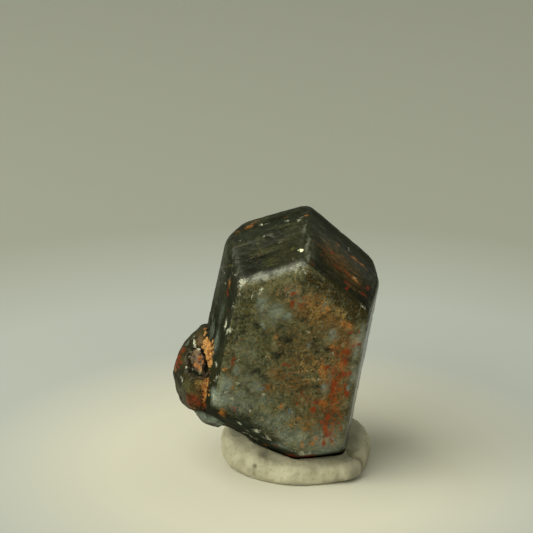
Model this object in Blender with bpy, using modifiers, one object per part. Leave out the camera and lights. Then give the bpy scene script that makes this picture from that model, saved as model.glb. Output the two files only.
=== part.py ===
"""A rough sapphire crystal, 18 mm tall, standing in the pad of putty that displays it.

The crystal is corundum: a six-sided barrel, short along its own axis, with a flat end that faces
about -Y. A smaller crystal with a broken pocket has grown onto its left side, and a third, a worn
lens, peeps out below that one. They grew together, so they are one solid. The putty is a soft oval
pad with the crystal's own shape pressed into it.

Units are metres, +Z is up, and the origin is the middle of the whole object's base.
"""

from math import cos, radians, sin, tan

import bmesh
import bpy
from mathutils import Euler, Matrix, Vector

MM = 0.001

# Where the middle of the crystal's girdle is, in mm from the middle of the putty pad, and how the
# crystal leans forward about X and is turned about Z
CRYSTAL_CENTRE = Vector((-0.63, -3.24, 9.63))
CRYSTAL_LEAN = 3.7
CRYSTAL_TURN = 4.3

# Depths along the crystal's axis from the girdle, where the front pyramid meets the prism
FRONT_DEPTH = 3.3
PRISM_DEPTH = 2.4
BACK_DEPTH = 5.5

# The six sides: the way each faces, counted up from +X about the crystal's axis, its distance
# from the axis at the girdle, how far it leans in over the front, and how far over the back
SIDES = (
    ("upper right", 47.2, 7.27, 24.5, -6.0),
    ("upper left", 106.0, 7.86, 27.3, -1.5),
    ("left", 168.6, 5.20, 14.8, 5.0),
    ("lower left", 237.6, 7.46, 32.2, 2.0),
    ("lower right", 275.8, 9.08, 34.4, 2.0),
    ("right", 350.9, 5.45, 15.2, 3.5),
)

# Small sides that cut the corners of the prism: direction, distance at the girdle, lean over the
# back end
CORNERS = (
    ("upper left corner", 137.0, 8.00, 22.0),
    ("lower left corner", 203.0, 8.05, 22.0),
)

# How far the hidden pyramid sides lean in over the back end
BACK_PYRAMID_SLOPE = 29.0

# Wear on the edges: the frosted rim of the flat front end is rounded twice as far as the others
BROAD_ROUND = 0.72
NARROW_SHARE = 0.5
ROUND_SEGMENTS = 3

# The stepped growth plates on the back end: how far each stands out, its size as a share of the
# girdle, and how far its middle is shifted sideways and up
BACK_PLATES = (
    (0.26, 0.52, 0.0, -0.3),
    (0.52, 0.34, 0.4, -1.0),
)
PLATE_SLOPE = 45.0

# The smaller crystal on the left, in the large one's own frame
SIDE_CENTRE = Vector((-5.2, 0.3, -1.9))
SIDE_FRONT = 2.1
SIDE_BACK = 2.4
SIDE_BACK_LEAN = 14.0
SIDE_ROUND = 0.55

# Its sides: the way each faces, how far it leans in over the front, its distance from the centre
SIDE_CRYSTAL_SIDES = (
    (135, 33.0, 2.10),
    (162, 24.0, 2.08),
    (192, 20.0, 2.36),
    (226, 22.0, 3.10),
    (266, 22.0, 3.20),
    (340, 0.0, 2.40),
    (60, 0.0, 2.42),
)

# The broken pocket in the upper left face of the smaller crystal: the way that face points and
# leans, the pocket's roll on it, the middle of its mouth, and its half width, depth and height
POCKET_FACE = (135, 33.0)
POCKET_ROLL = -48
POCKET_CENTRE = Vector((-5.88, -1.08, -0.91))
POCKET_RADII = Vector((0.84, 0.72, 1.16))

# The splinter left standing in the pocket: its middle, top and foot in the pocket's own frame, and
# its sides
SPLINTER_CENTRE = Vector((-0.04, 0, 0.15))
SPLINTER_FRONT = -0.10
SPLINTER_BACK = 0.9
SPLINTER_SIDES = (
    (13, 10.0, 0.50),
    (70, 10.0, 0.86),
    (170, 10.0, 0.46),
    (212, 10.0, 0.48),
    (327, 10.0, 0.54),
)

# The third, smallest crystal, low on the left behind the other two
LENS_CENTRE = Vector((-4.65, 0.8, -5.05))
LENS_RADII = Vector((1.5, 1.7, 1.38))
LENS_TILT = 24.0

# The space left between the crystal and the putty, so that the two solids don't touch
SEAT_GAP = 0.3

# The putty pad: the middle of its plan, its half width and half depth
PUTTY_CENTRE = Vector((0.1, -0.45, 0))
PUTTY_HALF_WIDTH = 5.35
PUTTY_HALF_DEPTH = 5.25

# Height of the putty's rim and fullness of its side, all round from +X towards +Y: the crystal's
# wedge of a base has squeezed the pad up on the left and the right
PUTTY_RIM = (
    (0, 2.05, 1.01),
    (30, 2.00, 0.99),
    (60, 2.00, 0.98),
    (90, 2.05, 0.96),
    (120, 2.30, 0.97),
    (150, 2.60, 0.99),
    (180, 2.70, 1.00),
    (210, 2.25, 0.99),
    (240, 1.70, 0.97),
    (270, 1.48, 1.00),
    (298, 1.50, 1.02),
    (317, 1.48, 1.09),
    (334, 1.80, 0.99),
)

# The pad's section, from its top over the rim to below its foot: share of the plan's radius,
# and share of the rim's height
PUTTY_SECTION = (
    (0.35, 0.85),
    (0.72, 1.02),
    (0.92, 0.92),
    (1.00, 0.55),
    (0.99, 0.15),
    (0.94, -0.2),
)
PUTTY_SOFTNESS = 2

FRONTWARDS = Vector((0, -1, 0))
BACKWARDS = Vector((0, 1, 0))
CUBE_REACH = 14
OVERLAP = 0.4


def crystal_place():
    """The turn and shift from the crystal's own frame to the whole object's."""
    turn = Euler((radians(CRYSTAL_LEAN), 0, radians(CRYSTAL_TURN))).to_matrix().to_4x4()
    return Matrix.Translation(CRYSTAL_CENTRE) @ turn


def facing(angle):
    """The direction in which a side faces, square to the crystal's axis."""
    return Vector((cos(radians(angle)), 0, sin(radians(angle))))


def leaning_plane(outward, slope, distance, towards):
    """A plane at a distance from the axis, leaning in over the end it is told."""
    normal = outward * cos(radians(slope)) + towards * sin(radians(slope))
    return outward * distance, normal


def cut_block(planes, reach=CUBE_REACH):
    """The block that is left of a cube once everything outside each plane is cut away."""
    block = bmesh.new()
    bmesh.ops.create_cube(block, size=2 * reach)
    for point, normal in planes:
        geometry = block.verts[:] + block.edges[:] + block.faces[:]
        cut = bmesh.ops.bisect_plane(
            block, geom=geometry, plane_co=point, plane_no=normal, clear_outer=True
        )
        rim = [item for item in cut["geom_cut"] if isinstance(item, bmesh.types.BMEdge)]
        if rim:
            bmesh.ops.edgeloop_fill(block, edges=rim)
    bmesh.ops.remove_doubles(block, verts=block.verts[:], dist=0.01)
    bmesh.ops.recalc_face_normals(block, faces=block.faces[:])
    return block


def object_from(block, name, collection, place=Matrix.Identity(4)):
    """A named object that holds a block drawn in millimetres, with its place in its mesh."""
    mesh = bpy.data.meshes.new(name)
    block.transform(Matrix.Scale(MM, 4) @ place)
    block.to_mesh(mesh)
    block.free()
    made = bpy.data.objects.new(name, mesh)
    collection.objects.link(made)
    return made


def helper(obj):
    """Marks an object as a cutter, or as a piece that another object takes in."""
    obj.hide_render = True
    obj.display_type = "WIRE"
    return obj


def boolean(obj, other, operation):
    """Joins another object to this one, or cuts it away."""
    step = obj.modifiers.new(f"{operation.lower()} {other.name}", "BOOLEAN")
    step.operation = operation
    step.object = other
    step.solver = "EXACT"


def round_edges(obj, width, method="ANGLE"):
    """Rounded edges, as wear and slow dissolving leave them."""
    bevel = obj.modifiers.new("rounded edges", "BEVEL")
    bevel.width = width * MM
    bevel.segments = ROUND_SEGMENTS
    bevel.limit_method = method
    bevel.angle_limit = radians(8)
    bevel.use_clamp_overlap = True


def large_crystal(grown=0.0):
    """The six-sided barrel between its two flat ends, or the same a little larger all over."""
    planes = []
    for _, angle, distance, front_lean, back_lean in SIDES:
        outward = facing(angle)
        planes.append(leaning_plane(outward, front_lean, distance + grown, FRONTWARDS))
        planes.append(leaning_plane(outward, back_lean, distance + grown, BACKWARDS))
        edge = distance + grown - tan(radians(back_lean)) * PRISM_DEPTH
        point, normal = leaning_plane(outward, BACK_PYRAMID_SLOPE, edge, BACKWARDS)
        planes.append((point + BACKWARDS * PRISM_DEPTH, normal))
    for _, angle, distance, back_lean in CORNERS:
        planes.append(leaning_plane(facing(angle), back_lean, distance + grown, BACKWARDS))
    planes.append((FRONTWARDS * (FRONT_DEPTH + grown), FRONTWARDS))
    planes.append((BACKWARDS * (BACK_DEPTH + grown), BACKWARDS))
    return cut_block(planes)


def mark_wear(block):
    """Weights every edge for rounding: the upper and lower rims of the front end the most."""
    wear = block.edges.layers.float.new("bevel_weight_edge")
    block.normal_update()
    for edge in block.edges:
        normals = [face.normal for face in edge.link_faces]
        on_front = any(normal.dot(FRONTWARDS) > 0.99 for normal in normals)
        on_side = any(abs(normal.x) > 0.9 for normal in normals)
        edge[wear] = 1.0 if on_front and not on_side else NARROW_SHARE
    return block


def back_plate(height, share, shift_x, shift_z):
    """One raised growth plate with the outline of the crystal, on its back end."""
    planes = []
    for _, angle, distance, _, _ in SIDES:
        planes.append(leaning_plane(facing(angle), PLATE_SLOPE, distance * share, BACKWARDS))
    planes.append((BACKWARDS * height, BACKWARDS))
    planes.append((FRONTWARDS * OVERLAP, FRONTWARDS))
    block = cut_block(planes)
    block.transform(Matrix.Translation(Vector((shift_x, BACK_DEPTH, shift_z))))
    return block


def side_crystal():
    """The smaller crystal: a rounded barrel whose axis is that of the large one."""
    planes = []
    for angle, slope, distance in SIDE_CRYSTAL_SIDES:
        planes.append(leaning_plane(facing(angle), slope, distance, FRONTWARDS))
        planes.append(leaning_plane(facing(angle), SIDE_BACK_LEAN, distance, BACKWARDS))
    planes.append((FRONTWARDS * SIDE_FRONT, FRONTWARDS))
    planes.append((BACKWARDS * SIDE_BACK, BACKWARDS))
    block = cut_block(planes)
    block.transform(Matrix.Translation(SIDE_CENTRE))
    return block


def pocket_place():
    """The turn and shift from the pocket's own frame, whose -Y points out of its mouth."""
    angle, slope = POCKET_FACE
    outward = facing(angle) * cos(radians(slope)) + FRONTWARDS * sin(radians(slope))
    turn = (-outward).to_track_quat("Y", "Z").to_matrix().to_4x4()
    return Matrix.Translation(POCKET_CENTRE) @ turn @ Matrix.Rotation(radians(POCKET_ROLL), 4, "Y")


def pocket():
    """The hollow of the pocket, as a cutter."""
    block = bmesh.new()
    place = pocket_place() @ Matrix.Diagonal((*POCKET_RADII, 1))
    bmesh.ops.create_icosphere(block, subdivisions=3, radius=1, matrix=place)
    return block


def splinter():
    """The splinter in the pocket: a small broken shard."""
    planes = [
        leaning_plane(facing(angle), slope, distance, FRONTWARDS)
        for angle, slope, distance in SPLINTER_SIDES
    ]
    planes.append((FRONTWARDS * SPLINTER_FRONT, Vector((-0.12, -1, 0.1)).normalized()))
    planes.append((BACKWARDS * SPLINTER_BACK, BACKWARDS))
    block = cut_block(planes)
    block.transform(pocket_place() @ Matrix.Translation(SPLINTER_CENTRE))
    return block


def lens(grown=0.0):
    """The smallest crystal: a smooth worn lens, or the same a little larger all over."""
    block = bmesh.new()
    turn = Euler((0, radians(LENS_TILT), 0)).to_matrix().to_4x4()
    radii = LENS_RADII + Vector((grown, grown, grown))
    place = Matrix.Translation(LENS_CENTRE) @ turn @ Matrix.Diagonal((*radii, 1))
    bmesh.ops.create_icosphere(block, subdivisions=3, radius=1, matrix=place)
    return block


def putty_cage():
    """A coarse closed cage for the putty: rings of points joined from the top to the foot."""
    cage = bmesh.new()
    rings = []
    for share, level in PUTTY_SECTION:
        ring = []
        for angle, rim_height, fullness in PUTTY_RIM:
            reach = share * fullness
            x = cos(radians(angle)) * PUTTY_HALF_WIDTH * reach
            y = sin(radians(angle)) * PUTTY_HALF_DEPTH * reach
            ring.append(cage.verts.new(PUTTY_CENTRE + Vector((x, y, rim_height * level))))
        rings.append(ring)
    for upper, lower in zip(rings, rings[1:]):
        for index, start in enumerate(upper):
            after = (index + 1) % len(upper)
            cage.faces.new((start, upper[after], lower[after], lower[index]))
    cage.faces.new(rings[0])
    cage.faces.new(rings[-1])
    bmesh.ops.recalc_face_normals(cage, faces=cage.faces[:])
    return cage


def material(name, colour, roughness):
    """A plain principled material."""
    made = bpy.data.materials.new(name)
    made.use_nodes = True
    shader = made.node_tree.nodes["Principled BSDF"]
    shader.inputs["Base Color"].default_value = (*colour, 1)
    shader.inputs["Roughness"].default_value = roughness
    shader.inputs["Metallic"].default_value = 0
    return made


def build_crystal(parts, helpers):
    """The three intergrown crystals as one solid."""
    place = crystal_place()
    crystal = object_from(mark_wear(large_crystal()), "sapphire_crystal", parts, place)
    round_edges(crystal, BROAD_ROUND, "WEIGHT")
    for index, plate in enumerate(BACK_PLATES):
        step = object_from(back_plate(*plate), f"back_plate_{index + 1}", helpers, place)
        boolean(crystal, helper(step), "UNION")
    boolean(crystal, helper(object_from(lens(), "worn_lens", helpers, place)), "UNION")
    side = helper(object_from(side_crystal(), "side_crystal", helpers, place))
    round_edges(side, SIDE_ROUND)
    boolean(crystal, side, "UNION")
    boolean(crystal, helper(object_from(pocket(), "pocket", helpers, place)), "DIFFERENCE")
    boolean(crystal, helper(object_from(splinter(), "splinter", helpers, place)), "UNION")
    crystal.data.materials.append(material("dark green corundum", (0.045, 0.05, 0.035), 0.3))
    return crystal


def build_putty(parts, helpers):
    """The putty pad with the crystal's imprint pressed into its top, cut flat at its foot."""
    putty = object_from(putty_cage(), "display_putty", parts)
    soften = putty.modifiers.new("soft form", "SUBSURF")
    soften.levels = PUTTY_SOFTNESS
    soften.render_levels = PUTTY_SOFTNESS
    under = bmesh.new()
    bmesh.ops.create_cube(under, size=20, matrix=Matrix.Translation((0, 0, -10)))
    boolean(putty, helper(object_from(under, "under_the_foot", helpers)), "DIFFERENCE")
    place = crystal_place()
    for name, block in (("crystal_imprint", large_crystal), ("lens_imprint", lens)):
        imprint = helper(object_from(block(SEAT_GAP), name, helpers, place))
        boolean(putty, imprint, "DIFFERENCE")
    putty.data.materials.append(material("bone putty", (0.55, 0.5, 0.4), 0.75))
    return putty


def stand_on_origin(parts, helpers):
    """Shifts everything so that the origin is the middle of the object's base."""
    graph = bpy.context.evaluated_depsgraph_get()
    corners = [Vector(c) for obj in parts.objects for c in obj.evaluated_get(graph).bound_box]
    low = Vector([min(c[axis] for c in corners) for axis in range(3)])
    high = Vector([max(c[axis] for c in corners) for axis in range(3)])
    shift = Vector((-(low.x + high.x) / 2, -(low.y + high.y) / 2, -low.z))
    for obj in parts.objects[:] + helpers.objects[:]:
        obj.data.transform(Matrix.Translation(shift))


def main():
    """Clears the scene, then builds the crystal and its putty."""
    for obj in list(bpy.data.objects):
        bpy.data.objects.remove(obj)
    parts = bpy.data.collections.new("rough sapphire crystal")
    helpers = bpy.data.collections.new("cutters")
    bpy.context.scene.collection.children.link(parts)
    bpy.context.scene.collection.children.link(helpers)
    build_crystal(parts, helpers)
    build_putty(parts, helpers)
    stand_on_origin(parts, helpers)


main()
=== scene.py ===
# %% [markdown]
# # A rough sapphire crystal on its pad of putty
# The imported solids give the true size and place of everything. This lesson dresses them: it gives
# the crystal its worn edges, growth lines, broken pocket and rust, and the putty its dents.
# Every finish is made of nodes, and nothing is read from a picture.

from math import cos, radians, sin, tan
from types import SimpleNamespace

import bmesh
import bpy
import numpy as np
from mathutils import Euler, Matrix, Vector, noise
from mathutils.bvhtree import BVHTree


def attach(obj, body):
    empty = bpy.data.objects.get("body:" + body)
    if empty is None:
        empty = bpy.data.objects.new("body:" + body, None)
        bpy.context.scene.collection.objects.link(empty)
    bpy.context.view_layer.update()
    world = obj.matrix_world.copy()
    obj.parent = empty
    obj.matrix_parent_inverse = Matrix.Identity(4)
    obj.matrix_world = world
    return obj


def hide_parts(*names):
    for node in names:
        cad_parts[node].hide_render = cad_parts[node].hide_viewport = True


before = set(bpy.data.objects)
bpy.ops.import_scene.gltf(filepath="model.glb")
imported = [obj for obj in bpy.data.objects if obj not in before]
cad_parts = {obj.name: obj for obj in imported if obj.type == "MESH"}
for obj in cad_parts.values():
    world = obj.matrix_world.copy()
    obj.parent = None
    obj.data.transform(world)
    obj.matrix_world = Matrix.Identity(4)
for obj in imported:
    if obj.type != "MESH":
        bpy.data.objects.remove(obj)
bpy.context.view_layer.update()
MM = 0.001
TO_MM = (1000, 1000, 1000)
print("solids:", sorted(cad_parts))

# %% [markdown]
# ## The camera
# The crystal is small, so a long lens at fifteen centimetres sees it with little perspective.
# The camera looks along +Y and down by twenty degrees. Its turn is built from three directions,
# which is surer than aiming it by hand.

# %% Place the camera
PUTTY_MIDDLE = Vector((1.31, 1.36, 0.0))
CAMERA_RISE = radians(20.0)
CAMERA_DISTANCE = 148.0
LOOK_AT = PUTTY_MIDDLE + Vector((-1.9, 0.0, 13.6))
LENS_LENGTH = 150
SENSOR_WIDTH = 36

right = Vector((1, 0, 0))
up = Vector((0, sin(CAMERA_RISE), cos(CAMERA_RISE)))
towards_camera = Vector((0, -cos(CAMERA_RISE), sin(CAMERA_RISE)))
lens_data = bpy.data.cameras.new("long lens")
lens_data.lens = LENS_LENGTH
lens_data.sensor_width = SENSOR_WIDTH
lens_data.clip_start = 0.005
lens_data.clip_end = 10
camera = bpy.data.objects.new("camera", lens_data)
turn = Matrix((right, up, towards_camera)).transposed().to_4x4()
camera.matrix_world = Matrix.Translation((LOOK_AT + towards_camera * CAMERA_DISTANCE) * MM) @ turn
bpy.context.scene.collection.objects.link(camera)
bpy.context.scene.camera = camera
bpy.context.scene.view_settings.view_transform = "Standard"
print("camera at", [round(v, 4) for v in camera.location])

# %% [markdown]
# ## Node helpers
# Materials here are long sums of masks. Written as plain arithmetic they stay readable, so one
# small class stands for a value in a material and adds a Math node for each sign. A second one
# holds the material and adds every other node through one method.


# %% Write shader maths as Python
class Value:
    """A number that varies over a surface."""

    def __init__(self, finish, socket):
        self.finish = finish
        self.socket = socket

    def __add__(self, other):
        return self.finish.math("ADD", self, other)

    def __sub__(self, other):
        return self.finish.math("SUBTRACT", self, other)

    def __rsub__(self, other):
        return self.finish.math("SUBTRACT", other, self)

    def __mul__(self, other):
        return self.finish.math("MULTIPLY", self, other)

    __radd__ = __add__
    __rmul__ = __mul__

    def held(self):
        """The value kept between 0 and 1."""
        return self.finish.node("ShaderNodeClamp", {}, {"Value": self, "Min": 0.0, "Max": 1.0})

    def rise(self, low, high):
        """0 below low, 1 above high and a smooth rise between, or a fall where low is higher."""
        settings = {"interpolation_type": "SMOOTHSTEP"}
        sockets = {"Value": self, "From Min": low, "From Max": high}
        return self.finish.node("ShaderNodeMapRange", settings, sockets)


# %% Add any other node through one method
class Finish:
    """A material whose nodes are added by name."""

    def __init__(self, name):
        self.material = bpy.data.materials.new(name)
        self.material.use_nodes = True
        self.tree = self.material.node_tree
        self.tree.nodes.clear()

    def put(self, socket, value):
        """Sets or links one socket."""
        if isinstance(value, Value):
            self.tree.links.new(value.socket, socket)
        elif isinstance(value, bpy.types.NodeSocket):
            self.tree.links.new(value, socket)
        elif socket.type == "RGBA":
            socket.default_value = (*value, 1)
        else:
            socket.default_value = value

    def add(self, kind, settings, sockets):
        """Adds a node: its settings first, then its sockets by name or number."""
        made = self.tree.nodes.new(kind)
        for name, value in settings.items():
            if name == "stops":
                self.set_stops(made.color_ramp, value)
            else:
                setattr(made, name, value)
        for name, value in sockets.items():
            self.put(made.inputs[name], value)
        return made

    def set_stops(self, ramp, stops):
        """Fills a colour ramp with its positions and colours."""
        while len(ramp.elements) > 1:
            ramp.elements.remove(ramp.elements[-1])
        for index, (position, colour) in enumerate(stops):
            stop = ramp.elements[0] if index == 0 else ramp.elements.new(position)
            stop.position = position
            stop.color = (*colour, 1)

    def node(self, kind, settings, sockets, output=0):
        """Adds a node and gives one of its outputs as a value."""
        return Value(self, self.add(kind, settings, sockets).outputs[output])

    def math(self, operation, first, second):
        """One Math node."""
        return self.node("ShaderNodeMath", {"operation": operation}, {0: first, 1: second})

    def blend(self, mask, under, over):
        """Lays one colour over another where the mask is 1."""
        settings = {"data_type": "RGBA", "clamp_factor": True}
        return self.node("ShaderNodeMix", settings, {0: mask, 6: under, 7: over}, 2)

    def coats(self, colour, *layers):
        """Lays colours over a first one in turn, each where its mask is 1."""
        for mask, over in layers:
            colour = self.blend(mask, colour, over)
        return colour

    def stretch(self, vector, factors):
        """A vector with each of its parts multiplied."""
        sockets = {0: vector, 1: factors}
        return self.node("ShaderNodeVectorMath", {"operation": "MULTIPLY"}, sockets)

    def place(self):
        """Object coordinates in millimetres."""
        coordinates = self.add("ShaderNodeTexCoord", {}, {}).outputs["Object"]
        return self.stretch(coordinates, TO_MM)

    def noise(self, vector, scale, detail=3.0, roughness=0.55, distortion=0.0):
        """Soft cloudy noise between 0 and 1."""
        sockets = {"Vector": vector, "Scale": scale, "Detail": detail, "Roughness": roughness}
        sockets["Distortion"] = distortion
        return self.node("ShaderNodeTexNoise", {}, sockets)

    def report(self, step):
        """Says how many nodes the material has after a step."""
        print(step, "done,", len(self.tree.nodes), "nodes so far")

    def painted(self, name, output="Fac"):
        """What the mesh carries at each of its points under a name."""
        return self.node("ShaderNodeAttribute", {"attribute_name": name}, {}, output)

    def bump(self, height, depth, strength=1.0, under=None):
        """A bump of so many metres, on top of an earlier one."""
        sockets = {"Height": height, "Distance": depth, "Strength": strength}
        if under is not None:
            sockets["Normal"] = under
        return self.node("ShaderNodeBump", {}, sockets)

    def surface(self, **sockets):
        """Ends the material in a Principled shader."""
        named = {name.replace("_", " ").title(): value for name, value in sockets.items()}
        for plain in ("Ior", "Specular Ior Level", "Coat Ior"):
            if plain in named:
                named[plain.replace("Ior", "IOR")] = named.pop(plain)
        shader = self.add("ShaderNodeBsdfPrincipled", {}, named)
        output = self.add("ShaderNodeOutputMaterial", {}, {})
        self.tree.links.new(shader.outputs[0], output.inputs["Surface"])
        print(self.material.name, "has", len(self.tree.nodes), "nodes")
        return self.material


# %% [markdown]
# ## The floor
# A plain sheet that is pale under the object and a greyer olive further out, as paper is where the
# light falls off. The colour depends only on the distance from the middle, so it looks the same
# from every side.

# %% Lay the floor
FLOOR_REACH = 1.2
FLOOR_DROP = 0.00002
NEAR_PAPER, MIDDLE_PAPER, FAR_PAPER = (0.61, 0.59, 0.53), (0.43, 0.45, 0.46), (0.33, 0.34, 0.315)
STOPS_PER_MM = 0.008
PAPER_STOPS = (
    (0.00, NEAR_PAPER),
    (0.09, NEAR_PAPER),
    (0.17, MIDDLE_PAPER),
    (0.25, MIDDLE_PAPER),
    (0.40, FAR_PAPER),
)
floor_finish = Finish("pale paper")
across = floor_finish.place()
flat = floor_finish.stretch(across, (1, 1, 0))
reach = floor_finish.node("ShaderNodeVectorMath", {"operation": "LENGTH"}, {0: flat}, "Value")
ramp_place = {"Fac": reach * STOPS_PER_MM}
shade = floor_finish.node("ShaderNodeValToRGB", {"stops": PAPER_STOPS}, ramp_place)
paper = floor_finish.surface(base_color=shade, roughness=0.85)
sheet = bpy.data.meshes.new("floor")
work = bmesh.new()
bmesh.ops.create_grid(work, x_segments=8, y_segments=8, size=FLOOR_REACH)
work.to_mesh(sheet)
work.free()
sheet.transform(Matrix.Translation((0, 0, -FLOOR_DROP)))
sheet.materials.append(paper)
floor = bpy.data.objects.new("floor", sheet)
bpy.context.scene.collection.objects.link(floor)
print("floor reaches", FLOOR_REACH, "m each way")

# %% [markdown]
# ## The light
# One broad soft light stands high in front and to the left, so that the frosted rim of the flat
# end catches it and the steep faces stay dark. Two weak ones fill from the right, one in front
# and one behind, and the room around is a dim greenish grey.

# %% Set the lights
MIDDLE = Vector((0.0, 0.0, 9.0))
ROOM_COLOUR = (0.34, 0.35, 0.275, 1)
ROOM_STRENGTH = 0.56


def soft_light(name, direction, distance, size, power, colour):
    """A square lamp that faces the middle of the object from so many mm away."""
    lamp = bpy.data.lights.new(name, "AREA")
    lamp.shape = "SQUARE"
    lamp.size = size * MM
    lamp.energy = power
    lamp.color = colour
    made = bpy.data.objects.new(name, lamp)
    away = Vector(direction).normalized()
    facing = away.to_track_quat("Z", "Y").to_matrix().to_4x4()
    made.matrix_world = Matrix.Translation((MIDDLE + away * distance) * MM) @ facing
    bpy.context.scene.collection.objects.link(made)


soft_light("key", (-0.60, -0.42, 0.80), 430, 480, 2.95, (1.0, 1.0, 0.80))
soft_light("back", (0.85, 0.35, 0.55), 520, 400, 0.30, (1.0, 1.01, 0.80))
soft_light("fill", (0.25, -0.9, 0.45), 520, 400, 0.30, (1.0, 1.01, 0.80))
room = bpy.data.worlds.new("room")
room.use_nodes = True
room.node_tree.nodes["Background"].inputs["Color"].default_value = ROOM_COLOUR
room.node_tree.nodes["Background"].inputs["Strength"].default_value = ROOM_STRENGTH
bpy.context.scene.world = room
print("lamps:", sorted(lamp.name for lamp in bpy.data.lights))

# %% [markdown]
# ## The crystal's own directions
# A crystal is known by its faces. Each one here has a direction about the crystal's axis, a
# distance from it and a lean, the same ones that its solid was cut with. From them any point on
# the skin can be told which face it is on and how near it is to an edge, so wear, growth lines
# and stains can be laid out face by face.

# %% Name the faces of the large crystal
CRYSTAL_MIDDLE = PUTTY_MIDDLE + Vector((-0.63, -3.24, 9.63))
CRYSTAL_TURN = Euler((radians(3.7), 0, radians(4.3))).to_matrix()
FRONT_DEPTH = 3.3
PRISM_DEPTH = 2.4
BACK_DEPTH = 5.5
BACK_SLOPE = 29.0
SIDES = (
    ("upper_right", 47.2, 7.27, 24.5, -6.0),
    ("upper_left", 106.0, 7.86, 27.3, -1.5),
    ("left", 168.6, 5.20, 14.8, 5.0),
    ("lower_left", 237.6, 7.46, 32.2, 2.0),
    ("lower_right", 275.8, 9.08, 34.4, 2.0),
    ("right", 350.9, 5.45, 15.2, 3.5),
)


def plane(angle, tip, distance, start=0.0):
    """A face: its angle about the axis, where it points and how far out it lies."""
    out, tip = radians(angle), radians(tip)
    normal = np.array([cos(out) * cos(tip), sin(tip), sin(out) * cos(tip)])
    return SimpleNamespace(angle=out, normal=normal, out=distance * cos(tip) + start * sin(tip))


FACES = {
    "front": SimpleNamespace(angle=None, normal=np.array([0.0, -1.0, 0.0]), out=FRONT_DEPTH),
    "back": SimpleNamespace(angle=None, normal=np.array([0.0, 1.0, 0.0]), out=BACK_DEPTH),
}
for side, angle, distance, front_lean, back_lean in SIDES:
    edge = distance - tan(radians(back_lean)) * PRISM_DEPTH
    FACES[side] = plane(angle, -front_lean, distance)
    FACES[side + "_band"] = plane(angle, back_lean, distance)
    FACES[side + "_rear"] = plane(angle, BACK_SLOPE, edge, PRISM_DEPTH)
FACE_NAMES = list(FACES)
print(len(FACE_NAMES), "faces on the large crystal")

# %% Name the faces of the small crystal on the left
SMALL_MIDDLE = np.array([-5.2, 0.3, -1.9])
SMALL_FRONT = 2.1
SMALL_BACK = 2.4
SMALL_BACK_LEAN = 14.0
SMALL_SIDES = (
    (135, 33.0, 2.10),
    (162, 24.0, 2.08),
    (192, 20.0, 2.36),
    (226, 22.0, 3.10),
    (266, 22.0, 3.20),
)
SMALL_FACES = [plane(angle, -lean, distance) for angle, lean, distance in SMALL_SIDES]
SMALL_FACES += [plane(angle, SMALL_BACK_LEAN, distance) for angle, lean, distance in SMALL_SIDES]
SMALL_FACES.append(SimpleNamespace(normal=np.array([0.0, -1.0, 0.0]), out=SMALL_FRONT))
SMALL_FACES.append(SimpleNamespace(normal=np.array([0.0, 1.0, 0.0]), out=SMALL_BACK))
POCKET_MIDDLE = np.array([-5.88, -1.08, -0.91])
POCKET_SIZE = np.array([0.84, 0.72, 1.16])
POCKET_ROLL = Matrix.Rotation(radians(-48), 3, "Y")
mouth = Vector(-SMALL_FACES[0].normal)
pocket_turn = mouth.to_track_quat("Y", "Z").to_matrix() @ POCKET_ROLL
print(len(SMALL_FACES), "faces on the small crystal")

# %% [markdown]
# ## A fine skin
# The solid has long thin triangles, which can't carry relief. Remeshing a copy with voxels makes
# an even net of small squares, and each of its points is then put back on the true surface.
# Places that need finer relief are divided once more. Subdividing the solid itself would work
# too, but it would leave the long triangles' pattern in the relief.


# %% Turn a solid into a fine even skin
MERGE_DISTANCE = 2e-6


def solid_copy(node):
    """A merged copy of a solid, in millimetres."""
    work = bmesh.new()
    work.from_mesh(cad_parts[node].data)
    bmesh.ops.remove_doubles(work, verts=work.verts, dist=MERGE_DISTANCE)
    bmesh.ops.scale(work, vec=TO_MM, verts=work.verts)
    return work


def applied(holder):
    """A plain mesh of an object with its modifiers applied."""
    graph = bpy.context.evaluated_depsgraph_get()
    mesh = bpy.data.meshes.new_from_object(holder.evaluated_get(graph))
    bpy.data.objects.remove(holder)
    return mesh


def fine_skin(work, name, voxel, finer=None):
    """An even net of squares that lies on a solid, divided once more where finer says so."""
    truth = BVHTree.FromBMesh(work)
    solid = bpy.data.meshes.new(name)
    work.to_mesh(solid)
    work.free()
    holder = bpy.data.objects.new(name, solid)
    bpy.context.scene.collection.objects.link(holder)
    remesh = holder.modifiers.new("even net", "REMESH")
    remesh.mode = "VOXEL"
    remesh.voxel_size = voxel
    net = bmesh.new()
    net.from_mesh(applied(holder))
    if finer:
        wanted = finer(np.array([point.co[:] for point in net.verts]))
        net.verts.ensure_lookup_table()
        lines = [line for line in net.edges if all(wanted[end.index] for end in line.verts)]
        bmesh.ops.subdivide_edges(net, edges=lines, cuts=1, use_grid_fill=True)
    for point in net.verts:
        point.co = truth.find_nearest(point.co)[0]
    skin = bpy.data.meshes.new(name)
    net.to_mesh(skin)
    net.free()
    skin.materials.clear()
    skin.polygons.foreach_set("use_smooth", [True] * len(skin.polygons))
    print(name, "has", len(skin.vertices), "points")
    return skin


# %% Small tools for working on a skin
def points_of(skin):
    """All points of a mesh."""
    flat = np.empty(len(skin.vertices) * 3)
    skin.vertices.foreach_get("co", flat)
    return flat.reshape(-1, 3)


def normals_of(skin):
    """The outward direction at each point of a mesh."""
    flat = np.empty(len(skin.vertices) * 3)
    skin.vertex_normals.foreach_get("vector", flat)
    return flat.reshape(-1, 3)


def move_to(skin, points):
    """Puts a mesh's points where they are told."""
    skin.vertices.foreach_set("co", points.astype(np.float32).ravel())
    skin.update()


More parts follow.
